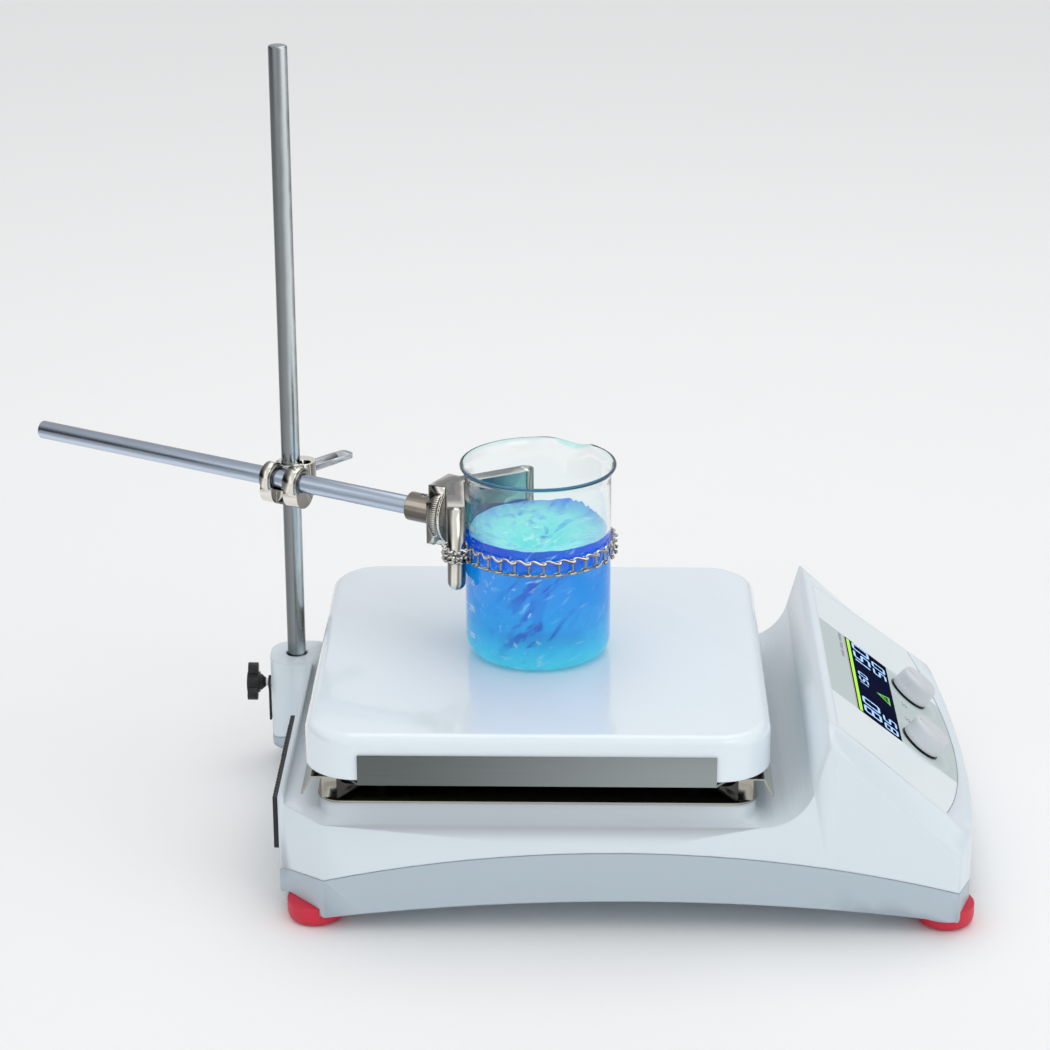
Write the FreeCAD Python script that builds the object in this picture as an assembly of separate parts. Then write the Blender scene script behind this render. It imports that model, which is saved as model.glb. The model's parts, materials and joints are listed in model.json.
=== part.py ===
"""Hotplate magnetic stirrer with its support rod, chain clamp, beaker and stir bar.

Frame: +Z up, the control panel faces -Y, the rod socket is at +Y, and the
stirring axis is the Z axis. The bench is z = 0. Everything is in millimetres.
"""
import FreeCAD, Part
import math
import os

from FreeCAD import Matrix, Vector

# ---------------------------------------------------------------- driving sizes
PLATE_SIDE = 277.0          # square ceramic top
PLATE_TOP = 126.0           # working surface above the bench
PLATE_DEPTH = 27.7          # top face down to the skirt's lower edge
PLATE_CORNER_R = 32.0
PLATE_EDGE_R = 7.0
PLATE_WALL = 5.0
PLATE_SKIN = 7.0

HALF_W = 143.0              # housing half width
DECK_Z = 71.0
RIM_Z = 76.0                # raised lip along the rear edge
REAR_Y = 156.0
REAR_CHAMFER = (115.0, 152.5, 127.0)   # x where it ends, y there, y where it starts
FRONT_CORNER = (250.5, 119.0, 259.5)   # y of the side corner, x and y of the facet's end
FRONT_APEX = 267.5
WALL = 3.0
SEAM_ARCH = (-50.0, 53.8, 808.0)       # centre y, crown z, radius of the housing seam
FOOT_ARCH = (-61.0, 21.7, 1427.0)      # the same for the lower edge
SEAM_GAP = 0.4

RIDGE_Y = 172.0             # the ridge is this far in front of the stirring axis
RIDGE_Z = 127.5
RIDGE_SIDE_Z = 123.5        # ridge height at the housing's sides
RIDGE_FLAT_X = 113.0
PANEL_SLOPE = math.atan(0.795)
FRONT_FLAT_X = 128.0
FRONT_SIDE_DROP = 16.5      # side crease below the panel plane at the far front
SWEEP_R = 33.0              # concave sweep from the deck up to the ridge
SWEEP_LEAN = math.radians(74.7)

OVERLAY_T = 0.8
OVERLAY_BACK = 8.0          # first edge, down the slope from the ridge
OVERLAY_HALF_BACK = 109.6
OVERLAY_FRONT = (91.3, 122.0, 114.5)   # slope of the corners, half width, slope of the arc's crown
SCREEN_V = (29.4, 64.6)
SCREEN_HALF = 57.0
KNOB_V = 81.0
KNOB_X = 37.5
KNOB_R = 13.5
KNOB_H = 12.0
KNOB_GAP = 1.3
SHAFT_R = 3.0

SOCKET_X = 102.2            # support rod axis
SOCKET_Y = 163.8
SOCKET_HALF = 20.0
SOCKET_BACK = 181.0
SOCKET_TOP = 76.0
SOCKET_FOOT = 14.0
SLEEVE_TOP = 72.0           # top of the steel sleeve inside the socket
ROD_R = 6.0
ROD_BOTTOM = 27.0
ROD_TOP = 484.0
LOCK_Z = 54.5
LOCK_KNOB_Y = (189.0, 197.2)
LOCK_KNOB_R = 13.8

ARM_Z = 203.0               # cross rod height
ARM_ANGLE = math.radians(240.8)        # direction from the boss head to the beaker
ROD_OFFSET = 12.3           # rod axes pass this far apart
ARM_BACK = 388.0            # cross rod's free end, from the beaker axis
ARM_FRONT = 70.0
BEAKER_X, BEAKER_Y = -2.5, 1.4

BEAKER_R = 45.0
BEAKER_H = 122.5
BEAKER_WALL = 2.2
BEAKER_RIM_R = 48.2
BEAKER_Z = PLATE_TOP + 0.2
STIR_R = 4.2
STIR_LEN = 40.0

V_CONTACT = math.radians(32.6)         # half angle of the two contact lines
V_INNER = BEAKER_R + 0.3
V_THICK = 10.8
V_Z = (178.0, 226.0)
POST_R = 5.6
SLEEVE_R = 9.2
SLEEVE = (72.0, 92.5)                  # from the beaker axis along the arm
CHAIN_Z = (191.5, 200.5)

FOOT_R = 17.5
FOOT_H = 13.2
FEET = ((-122.0, 133.5), (122.0, 133.5), (-122.0, -245.0), (122.0, -245.0))

TRAY_HALF = 118.0
TRAY_Z = (86.0, 97.1)
COLLAR_HALF = 130.0
COLLAR_TOP = 80.0
PAN_T = 1.0

MOTOR_R = 32.0
MOTOR_Z = (29.5, 56.0)
MAGNET_Z = 71.5             # underside of the magnet carrier
FAN_Z = 24.7
PUSH = 0.6                  # travel of the push-to-select knobs

X, Y, Z = Vector(1, 0, 0), Vector(0, 1, 0), Vector(0, 0, 1)
NODES = {}


# ---------------------------------------------------------------- small helpers
def box(x0, x1, y0, y1, z0, z1):
    """Box between two corners, in any order."""
    return Part.makeBox(abs(x1 - x0), abs(y1 - y0), abs(z1 - z0),
                        Vector(min(x0, x1), min(y0, y1), min(z0, z1)))


def cyl(r, start, axis, length):
    """Cylinder of radius r from start along axis."""
    return Part.makeCylinder(r, length, Vector(*start), Vector(*axis))


def tube(r_out, r_in, start, axis, length):
    """Hollow cylinder."""
    return cyl(r_out, start, axis, length).cut(cyl(r_in, start, axis, length))


def face(points):
    """Planar face through a closed ring of points."""
    pts = [Vector(*p) for p in points]
    return Part.Face(Part.makePolygon(pts + pts[:1]))


def prism(points, z0, z1):
    """Vertical prism over an (x, y) outline."""
    return face([(x, y, z0) for x, y in points]).extrude(Vector(0, 0, z1 - z0))


def across(points, x0, x1):
    """Prism along X over a (y, z) outline."""
    return face([(x0, y, z) for y, z in points]).extrude(Vector(x1 - x0, 0, 0))


def rounded(half_x, half_y, r, z0, z1, cx=0.0, cy=0.0):
    """Vertical block with four rounded corners."""
    block = box(cx - half_x, cx + half_x, cy - half_y, cy + half_y, z0, z1)
    edges = [e for e in block.Edges
             if abs(e.Vertexes[0].X - e.Vertexes[1].X) < 1e-6
             and abs(e.Vertexes[0].Y - e.Vertexes[1].Y) < 1e-6]
    return block.makeFillet(r, edges)


def revolve(profile, at=(0.0, 0.0, 0.0), axis=(0, 0, 1)):
    """Solid of revolution of an (r, z) outline about an axis through `at`."""
    solid = face([(r, 0, z) for r, z in profile]).revolve(Vector(0, 0, 0), Z, 360)
    turn = FreeCAD.Rotation(Z, Vector(*axis))
    solid.Placement = FreeCAD.Placement(Vector(*at), turn)
    return solid


def moved(shape, x=0.0, y=0.0, z=0.0):
    """Copy of a shape, shifted."""
    copy = shape.copy()
    copy.translate(Vector(x, y, z))
    return copy


def mirrored_x(shape):
    """The shape and its mirror image in the plane x = 0."""
    return [shape, shape.mirror(Vector(0, 0, 0), X)]


def join(shapes):
    """Fuse a list of touching shapes into one, merging coplanar faces where that stays valid."""
    base = shapes[0]
    for shape in shapes[1:]:
        base = base.fuse(shape)
    merged = base.removeSplitter()
    return merged if merged.isValid() and merged.Volume > 0 else base


def keep(name, *solids):
    """Store the solids of one node."""
    flat = [s for solid in solids for s in solid.Solids]
    NODES[name] = flat[0] if len(flat) == 1 else Part.makeCompound(flat)


def placed(shape, matrix):
    """Copy of a shape, moved by a rigid transform."""
    copy = shape.copy()
    copy.Placement = FreeCAD.Placement(matrix).multiply(copy.Placement)
    return copy


def on_panel(shape):
    """Place a shape built with +X along the width, +Y down the slope, +Z outward."""
    c, s = math.cos(PANEL_SLOPE), math.sin(PANEL_SLOPE)
    return placed(shape, Matrix(-1, 0, 0, 0,
                                0, -c, -s, -RIDGE_Y,
                                0, -s, c, RIDGE_Z,
                                0, 0, 0, 1))


def on_arm(shape):
    """Place a shape built about the beaker axis, with +X running along the arm."""
    turn = FreeCAD.Placement(Vector(BEAKER_X, BEAKER_Y, 0),
                             FreeCAD.Rotation(Z, math.degrees(ARM_ANGLE) + 180.0))
    return placed(shape, turn.toMatrix())


# ---------------------------------------------------------------- housing shells
def plan(inset):
    """Housing outline seen from above, inset by a wall thickness."""
    w, i = HALF_W - inset, inset
    cx, cy, sy = REAR_CHAMFER
    fy, fx, fe = FRONT_CORNER
    half = [(cx - 0.45 * i, cy - i), (w, sy - 0.5 * i), (w, -fy + 0.3 * i), (fx - 0.8 * i, -fe + i)]
    side = [Vector(x, y, 0) for x, y in half]
    far = [Vector(-x, y, 0) for x, y in reversed(half)]
    edges = [Part.makeLine(a, b) for a, b in zip(side, side[1:])]
    edges.append(Part.Arc(side[-1], Vector(0, -FRONT_APEX + i, 0), far[0]).toShape())
    edges += [Part.makeLine(a, b) for a, b in zip(far, far[1:])]
    edges.append(Part.makeLine(far[-1], side[0]))
    return Part.Face(Part.Wire(edges))


def arch_below(arch, lift=0.0):
    """Everything under an arched seam that runs along X."""
    y, crown, r = arch
    return cyl(r, (-400, y, crown - r + lift), (1, 0, 0), 800)


def panel_section(y, inset):
    """Cross-section of the console at one y, from the bench to the panel."""
    t = (-y - RIDGE_Y) / (275.0 - RIDGE_Y)
    drop = inset / math.cos(PANEL_SLOPE)
    top = RIDGE_Z - math.tan(PANEL_SLOPE) * (-y - RIDGE_Y) - drop
    side = (RIDGE_Z - RIDGE_SIDE_Z) * (1 - t) + FRONT_SIDE_DROP * t
    flat = RIDGE_FLAT_X * (1 - t) + FRONT_FLAT_X * t - 0.6 * inset
    w = HALF_W - inset
    pts = [(-w, 0), (-w, top - side), (-flat, top), (flat, top), (w, top - side), (w, 0)]
    return Part.makePolygon([Vector(x, y, z) for x, z in pts + pts[:1]])


def sweep_points(inset):
    """Start, middle and end (y, z) of the concave sweep from the deck up to the ridge."""
    foot = RIDGE_Y - (RIDGE_Z - DECK_Z) / math.tan(SWEEP_LEAN)
    reach = SWEEP_R / math.tan((math.pi - SWEEP_LEAN) / 2)
    start, middle = foot - reach, SWEEP_LEAN / 2
    points = [(-start, DECK_Z),
              (-start - SWEEP_R * math.sin(middle), DECK_Z + SWEEP_R * (1 - math.cos(middle))),
              (-foot - reach * math.cos(SWEEP_LEAN), DECK_Z + reach * math.sin(SWEEP_LEAN))]
    return [(y - 0.9 * inset, z - 0.45 * inset) for y, z in points]


def mass(inset):
    """Outer (inset 0) or inner envelope of the whole housing, down to the bench."""
    front = Part.makeLoft([panel_section(-RIDGE_Y, inset), panel_section(-275.0, inset)], True, True)
    back = Part.Face(panel_section(-RIDGE_Y, inset)).extrude(Vector(0, RIDGE_Y - 120, 0))
    deck = box(-HALF_W + inset, HALF_W - inset, -125, 160, 0, DECK_Z - inset)
    solid = join([deck, back, front])
    start, middle, end = [Vector(-200, y, z) for y, z in sweep_points(inset)]
    arc = Part.Arc(start, middle, end).toShape()
    rest = [end, Vector(-200, end.y - (200 - end.z) / math.tan(SWEEP_LEAN), 200), Vector(-200, 200, 200),
            Vector(-200, 200, start.z), start]
    wire = Part.Wire([arc] + [Part.makeLine(a, b) for a, b in zip(rest, rest[1:])])
    solid = solid.cut(Part.Face(wire).extrude(Vector(400, 0, 0)))
    return solid.common(plan(inset).extrude(Vector(0, 0, 250)))


def socket_block(inset, z0, z1):
    """Boss round the support rod, running into the rear wall."""
    half = SOCKET_HALF - inset
    depth = (SOCKET_BACK - 140.0) / 2
    return rounded(half, depth - inset / 2, min(15.0, half - 1.0), z0, z1,
                   SOCKET_X, 140.0 + depth - inset / 2)


def collar(inset, z0, z1):
    """Raised platform under the pan."""
    return rounded(COLLAR_HALF - inset, COLLAR_HALF - inset, 14.0 - inset / 2, z0, z1)


REAR_PANEL = (-112.0, 6.0, 40.0, 74.0)     # x from, x to, z from, z to of the black panel
CASE_SCREWS = ((-128.0, 100.0), (128.0, 60.0), (-128.0, -60.0), (128.0, -60.0),
               (-128.0, -205.0), (128.0, -205.0))
STANDOFFS = ((-95.0, -95.0), (95.0, -95.0), (-95.0, 95.0), (95.0, 95.0))
MOTOR_BOSSES = ((-46.0, -30.0), (46.0, -30.0), (-46.0, 30.0), (46.0, 30.0))
BOARD_SCREWS = ((-90.0, 71.0), (35.0, 71.0), (-90.0, 133.0), (35.0, 133.0))
PANEL_SCREWS = ((-65.0, 30.0), (65.0, 30.0), (-65.0, 88.0), (65.0, 88.0))   # on the panel's slope
BOARD_Z = 30.0
PANEL_BOARD = -14.5         # back of the display board below the panel plane


def arch_z(arch, y):
    """Height of an arched seam at one y."""
    centre, crown, r = arch
    return crown - r + math.sqrt(r * r - (y - centre) ** 2)


def build_housing():
    """Upper and lower housing shells."""
    outer = mass(0.0)
    inner = mass(WALL)
    seam = arch_below(SEAM_ARCH)
    foot = arch_below(FOOT_ARCH)
    rim = box(-REAR_CHAMFER[0], REAR_CHAMFER[0], REAR_CHAMFER[1] - 0.5, REAR_Y, 12, RIM_Z)
    rim = rim.makeFillet(1.5, [e for e in rim.Edges if e.BoundBox.YMin > REAR_Y - 0.1])
    outer = join([outer, rim, collar(0, 60, COLLAR_TOP), socket_block(0, SOCKET_FOOT, SOCKET_TOP)])
    cavity = join([inner, collar(WALL, 50, COLLAR_TOP - WALL)])
    keep('upper_housing', upper_housing(outer.cut(seam), cavity, inner))
    keep('lower_housing', lower_housing(outer.common(arch_below(SEAM_ARCH, -SEAM_GAP)).cut(foot), inner))


def upper_housing(shell, cavity, inner):
    """White upper shell with its bosses, openings and the rod socket's bore."""
    shell = shell.cut(cavity)
    x0, x1, z0, z1 = REAR_PANEL
    openings = [box(x0 + 4, x1 - 4, 140, 160, z0 + 3, z1 - 4),
                cyl(52, (0, 0, 60), (0, 0, 1), 40),
                cyl(10.2, (SOCKET_X, SOCKET_Y, SOCKET_FOOT + 3), (0, 0, 1), SLEEVE_TOP - SOCKET_FOOT - 2.8),
                cyl(ROD_R + 1.0, (SOCKET_X, SOCKET_Y, SOCKET_FOOT + 3), (0, 0, 1), 90),
                cyl(4.2, (SOCKET_X, 165, LOCK_Z), (0, 1, 0), 40),
                overlay_blank(-OVERLAY_T, 3.0), window_blank(-12, 2, 1.2)]
    openings += [on_panel(cyl(7.0, (x, KNOB_V, -12), (0, 0, 1), 20)) for x in (-KNOB_X, KNOB_X)]
    for opening in openings:
        shell = shell.cut(opening)
    above = [tube(4.5, 1.6, (x, y, 20), (0, 0, 1), 120).common(inner) for x, y in CASE_SCREWS]
    bosses = [post.cut(arch_below(SEAM_ARCH)) for post in above]
    hang = MOTOR_Z[1] + 2.2
    bosses += [tube(5, 1.55, (x, y, hang), (0, 0, 1), COLLAR_TOP - 1.5 - hang) for x, y in MOTOR_BOSSES]
    bosses += [tube(5, 1.65, (x, y, 68), (0, 0, 1), COLLAR_TOP - 69.5) for x, y in STANDOFFS]
    back = PANEL_BOARD + 1.7
    bosses += [on_panel(tube(3.2, 1.55, (x, v, back), (0, 0, 1), -2.5 - back)) for x, v in PANEL_SCREWS]
    shell = join([shell] + bosses)
    for x, y in STANDOFFS:
        shell = shell.cut(cyl(1.65, (x, y, 60), (0, 0, 1), 40))
    return biggest(shell)


def lower_housing(shell, inner):
    """Grey base tray with foot pockets, screw shelves, board posts and vents."""
    shell = shell.cut(inner.cut(arch_below(FOOT_ARCH, WALL)))
    shell = shell.cut(cyl(10.2, (SOCKET_X, SOCKET_Y, SOCKET_FOOT + 3), (0, 0, 1), 90))
    foot, lid = arch_below(FOOT_ARCH), arch_below(SEAM_ARCH, -SEAM_GAP)
    parts = [cyl(6, (x, y, 6), (0, 0, 1), 80).common(inner).cut(foot).common(lid) for x, y in CASE_SCREWS]
    parts += [cyl(FOOT_R + 3.5, (x, y, FOOT_H - 4), (0, 0, 1), 7.3).common(mass(0.0)) for x, y in FEET]
    parts += [cyl(3.5, (x, y, arch_z(FOOT_ARCH, y) + 1), (0, 0, 1),
                  BOARD_Z - 0.1 - arch_z(FOOT_ARCH, y) - 1) for x, y in BOARD_SCREWS]
    for part in parts:
        shell = shell.fuse(part)
    for x, y in FEET:
        shell = shell.cut(stepped_hole(x, y, FOOT_R + 0.3, FOOT_H + 0.1, 2.4))
    for x, y in CASE_SCREWS:
        shell = shell.cut(stepped_hole(x, y, 3.6, arch_z(FOOT_ARCH, y) + 5.0, 1.9))
    for x, y in BOARD_SCREWS:
        shell = shell.cut(cyl(1.55, (x, y, BOARD_Z - 8), (0, 0, 1), 20))
    for k in range(9):
        shell = shell.cut(box(-40 + k * 10, -36 + k * 10, -60, 50, 0, 30))
    return biggest(shell)


def stepped_hole(x, y, wide_r, seat, narrow_r):
    """Cutter for a hole from below: wide up to the seat, narrow above it."""
    return revolve([(0, -1), (wide_r, -1), (wide_r, seat), (narrow_r, seat), (narrow_r, 90), (0, 90)], (x, y, 0))


def biggest(shape):
    """Largest solid of a shape, dropping slivers that a cut may leave."""
    return max(shape.Solids, key=lambda s: s.Volume)


def overlay_blank(z0, z1):
    """Body over the control overlay's outline, from z0 to z1 above the panel plane."""
    v1, half, crown = OVERLAY_FRONT
    a, b = Vector(-OVERLAY_HALF_BACK, OVERLAY_BACK, z0), Vector(-half, v1, z0)
    c, d = Vector(half, v1, z0), Vector(OVERLAY_HALF_BACK, OVERLAY_BACK, z0)
    edges = [Part.makeLine(a, b), Part.Arc(b, Vector(0, crown, z0), c).toShape(),
             Part.makeLine(c, d), Part.makeLine(d, a)]
    return on_panel(Part.Face(Part.Wire(edges)).extrude(Vector(0, 0, z1 - z0)))


def window_blank(z0, z1, grow=0.0):
    """Body over the display window."""
    return on_panel(box(-SCREEN_HALF - grow, SCREEN_HALF + grow,
                        SCREEN_V[0] - grow, SCREEN_V[1] + grow, z0, z1))


def build_panel():
    """Overlay, window, display, knobs and their encoders."""
    sheet = overlay_blank(-OVERLAY_T + 0.05, 0.0).cut(window_blank(-2, 2))
    for x in (-KNOB_X, KNOB_X):
        sheet = sheet.cut(on_panel(cyl(9.5, (x, KNOB_V, -3), (0, 0, 1), 6)))
    keep('control_overlay', sheet)
    keep('display_window', window_blank(-1.9, 0.0, -0.15))
    keep('display_module', window_blank(PANEL_BOARD + 1.7, -2.1, -2.0))
    board = on_panel(box(-70, 70, SCREEN_V[0] - 5, KNOB_V + 12, PANEL_BOARD, PANEL_BOARD + 1.6))
    for x in (-KNOB_X, KNOB_X):
        board = board.cut(on_panel(cyl(3.6, (x, KNOB_V, -20), (0, 0, 1), 12)))
    for x, v in PANEL_SCREWS:
        board = board.cut(on_panel(cyl(1.6, (x, v, -20), (0, 0, 1), 12)))
    keep('display_board', board)
    rings, bodies = [], []
    for side, x in (('heat', KNOB_X), ('speed', -KNOB_X)):
        rings.append(on_panel(tube(KNOB_R + 0.4, 9.8, (x, KNOB_V, 0.05), (0, 0, 1), 0.35)))
        can = box(x - 6.2, x + 6.2, KNOB_V - 6.2, KNOB_V + 6.2, PANEL_BOARD + 1.7, -5.5)
        bush = cyl(4.6, (x, KNOB_V, -5.6), (0, 0, 1), 6.0).fuse(can)
        bush = bush.cut(cyl(SHAFT_R + 0.08, (x, KNOB_V, -9.5), (0, 0, 1), 12))
        bush = bush.cut(cyl(2.4, (x, KNOB_V, -12.2), (0, 0, 1), 3.2))
        bodies.append(on_panel(bush.cut(cyl(1.3, (x, KNOB_V, -14), (0, 0, 1), 6))))
        pin = cyl(1.1, (x, KNOB_V, -11.4), (0, 0, 1), 1.8).fuse(cyl(2.1, (x, KNOB_V, -9.7), (0, 0, 1), 0.6))
        keep(side + '_push_pin', on_panel(pin))
        shaft = cyl(SHAFT_R, (x, KNOB_V, -8.8), (0, 0, 1), 17.6)
        shaft = shaft.cut(box(x - 4, x + 4, KNOB_V + 1.6, KNOB_V + 4, 2.5, 12))
        keep(side + '_encoder_shaft', on_panel(shaft))
        keep(side + '_knob', on_panel(moved(knob(), x, KNOB_V)))
    keep('knob_bezels', *rings)
    keep('encoder_bodies', *bodies)


def knob():
    """Ribbed control knob, standing on z = KNOB_GAP."""
    z0, z1 = KNOB_GAP, KNOB_GAP + KNOB_H
    body = revolve([(0, z0), (KNOB_R - 0.5, z0), (KNOB_R, z0 + 0.8), (KNOB_R - 0.9, z1 - 1.0),
                    (KNOB_R - 1.9, z1), (0, z1)])
    for k in range(28):
        a = 2 * math.pi * k / 28
        groove = cyl(0.55, ((KNOB_R + 0.1) * math.cos(a), (KNOB_R + 0.1) * math.sin(a), z0 + 4.0),
                     (-0.02 * math.cos(a), -0.02 * math.sin(a), 1), KNOB_H)
        body = body.cut(groove)
    body = body.cut(box(-0.5, 0.5, -KNOB_R + 2.2, -3.0, z1 - 0.5, z1 + 1))
    body = body.cut(cyl(KNOB_R - 2.4, (0, 0, z0 - 1), (0, 0, 1), 3.0))
    hole = cyl(SHAFT_R, (0, 0, z0 - 1), (0, 0, 1), 8.8).cut(box(-4, 4, 1.6, 4, 2.5, 12))
    return body.cut(hole)


# ---------------------------------------------------------------- hot plate group
PLATE_BOSSES = ((-122.5, -80.0), (122.5, -80.0), (-122.5, 80.0), (122.5, 80.0))
PROBE = (40.0, 30.0)


def build_plate():
    """Ceramic top with the heater stack, pan and side strips under it."""
    h = PLATE_SIDE / 2
    low = PLATE_TOP - PLATE_DEPTH
    skin = PLATE_TOP - PLATE_SKIN
    shelf = TRAY_Z[1] + 1.0
    top = rounded(h, h, PLATE_CORNER_R, low, PLATE_TOP)
    top = top.makeFillet(PLATE_EDGE_R, [e for e in top.Edges if e.BoundBox.ZMin > PLATE_TOP - 0.01])
    top = top.cut(rounded(h - PLATE_WALL, h - PLATE_WALL, PLATE_CORNER_R - PLATE_WALL, low - 1, skin))
    top = top.fuse([cyl(5, (x, y, shelf + 0.1), (0, 0, 1), skin - shelf + 1) for x, y in PLATE_BOSSES])
    for x, y in PLATE_BOSSES:
        top = top.cut(cyl(1.7, (x, y, low - 2), (0, 0, 1), 16))
    keep('top_plate', top.removeSplitter())

    heater = rounded(108, 108, 12, skin - 3.2, skin - 0.1)
    for k in range(-4, 5):
        heater = heater.cut(box(-92, 92, k * 21 - 1.0, k * 21 + 1.0, skin - 2.2, skin + 1))
    keep('heating_element', heater)
    pad = rounded(110, 110, 12, TRAY_Z[0] + 1.1, skin - 3.3)
    pad = pad.cut(cyl(2.6, (*PROBE, 80), (0, 0, 1), 60))
    for x, y in STANDOFFS:
        pad = pad.cut(cyl(3.4, (x, y, TRAY_Z[0]), (0, 0, 1), 3.2))
    keep('insulation_pad', pad)
    keep('temperature_sensor', cyl(2.5, (*PROBE, skin - 15), (0, 0, 1), 11.7))

    tray = rounded(TRAY_HALF, TRAY_HALF, 6, *TRAY_Z)
    tray = tray.cut(rounded(TRAY_HALF - 1, TRAY_HALF - 1, 5, TRAY_Z[0] + 1.0, TRAY_Z[1] + 1))
    flange = rounded(TRAY_HALF + 9, TRAY_HALF + 9, 12, TRAY_Z[1], shelf)
    tray = tray.fuse(flange.cut(rounded(TRAY_HALF - 1, TRAY_HALF - 1, 5, 80, 120)))
    for x, y in STANDOFFS:
        tray = tray.cut(cyl(1.75, (x, y, 80), (0, 0, 1), 12))
    for x, y in PLATE_BOSSES:
        tray = tray.cut(cyl(2.0, (x, y, 90), (0, 0, 1), 20))
    tray = tray.cut(cyl(3.4, (*PROBE, 80), (0, 0, 1), 12))
    keep('heater_tray', tray.removeSplitter())
    keep('plate_screws', *[screw((x, y, TRAY_Z[1] - 1.5), 1.65, 3.2, 9.0) for x, y in PLATE_BOSSES])

    strip = box(-h - 1.6, -h - 0.2, -105.6, 105.6, 95.6, 114.3)
    lip = prism([(-h - 1.6, -105.6), (-h - 1.6, 105.6), (-h + 9, 114.0), (-h + 9, -114.0)], 95.6, 97.0)
    tabs = [box(-h + 8, -118.8, y - 8, y + 8, 95.6, 97.0).cut(cyl(2.0, (x, y, 90), (0, 0, 1), 20))
            for x, y in PLATE_BOSSES if x < 0]
    keep('side_strips', *mirrored_x(strip.fuse([lip] + tabs).removeSplitter()))

    keep('drip_pan', pan())
    base = COLLAR_TOP + 0.1 + PAN_T
    gap = TRAY_Z[0] - base
    keep('standoffs', *[tube(4.5, 1.75, (x, y, base + 0.05), (0, 0, 1), gap - 0.1) for x, y in STANDOFFS])
    keep('standoff_screws', *[screw((x, y, TRAY_Z[0] + 1.05), 1.6, 3.0, 17.0, -1, 1.4) for x, y in STANDOFFS])


def screw(seat, r, head_r, length, up=1, head=2.0):
    """Slotted screw with its head seated at a point and its shank along +Z or -Z."""
    x, y, z = seat
    cap = cyl(head_r, (x, y, z - up * head if up > 0 else z), (0, 0, 1), head)
    bottom = z - head if up > 0 else z + head
    slot = box(x - head_r, x + head_r, y - 0.4, y + 0.4, bottom, bottom + up * 0.7)
    return cyl(r, seat, (0, 0, up), length).fuse(cap.cut(slot))


def pan():
    """Stainless heat shield: flat floor, end walls with an outward drip edge."""
    t, half = PAN_T, COLLAR_HALF + 1.0
    z0 = COLLAR_TOP + 0.1
    floor = rounded(half, half, 14, z0, z0 + t)
    floor = floor.cut(cyl(50, (0, 0, 70), (0, 0, 1), 30))
    out = []
    for s in (1, -1):
        web = [(half - 4, z0), (half - 4, z0 + 14.5), (half + 3.5, z0 + 14.5), (half + 9.5, z0 + 3.0),
               (half + 8.4, z0 + 2.6), (half + 2.8, z0 + 13.5), (half - 3, z0 + 13.5), (half - 3, z0)]
        out.append(across([(s * y, z) for y, z in web], -126, 126))
        for e in (1, -1):
            out.append(box(e * 126, e * 125, s * (half - 4), s * (TRAY_HALF + 1), z0, z0 + 14.5))
    body = floor.fuse(out)
    for x, y in STANDOFFS:
        body = body.cut(cyl(1.75, (x, y, 70), (0, 0, 1), 20))
    return body.removeSplitter()


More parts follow.
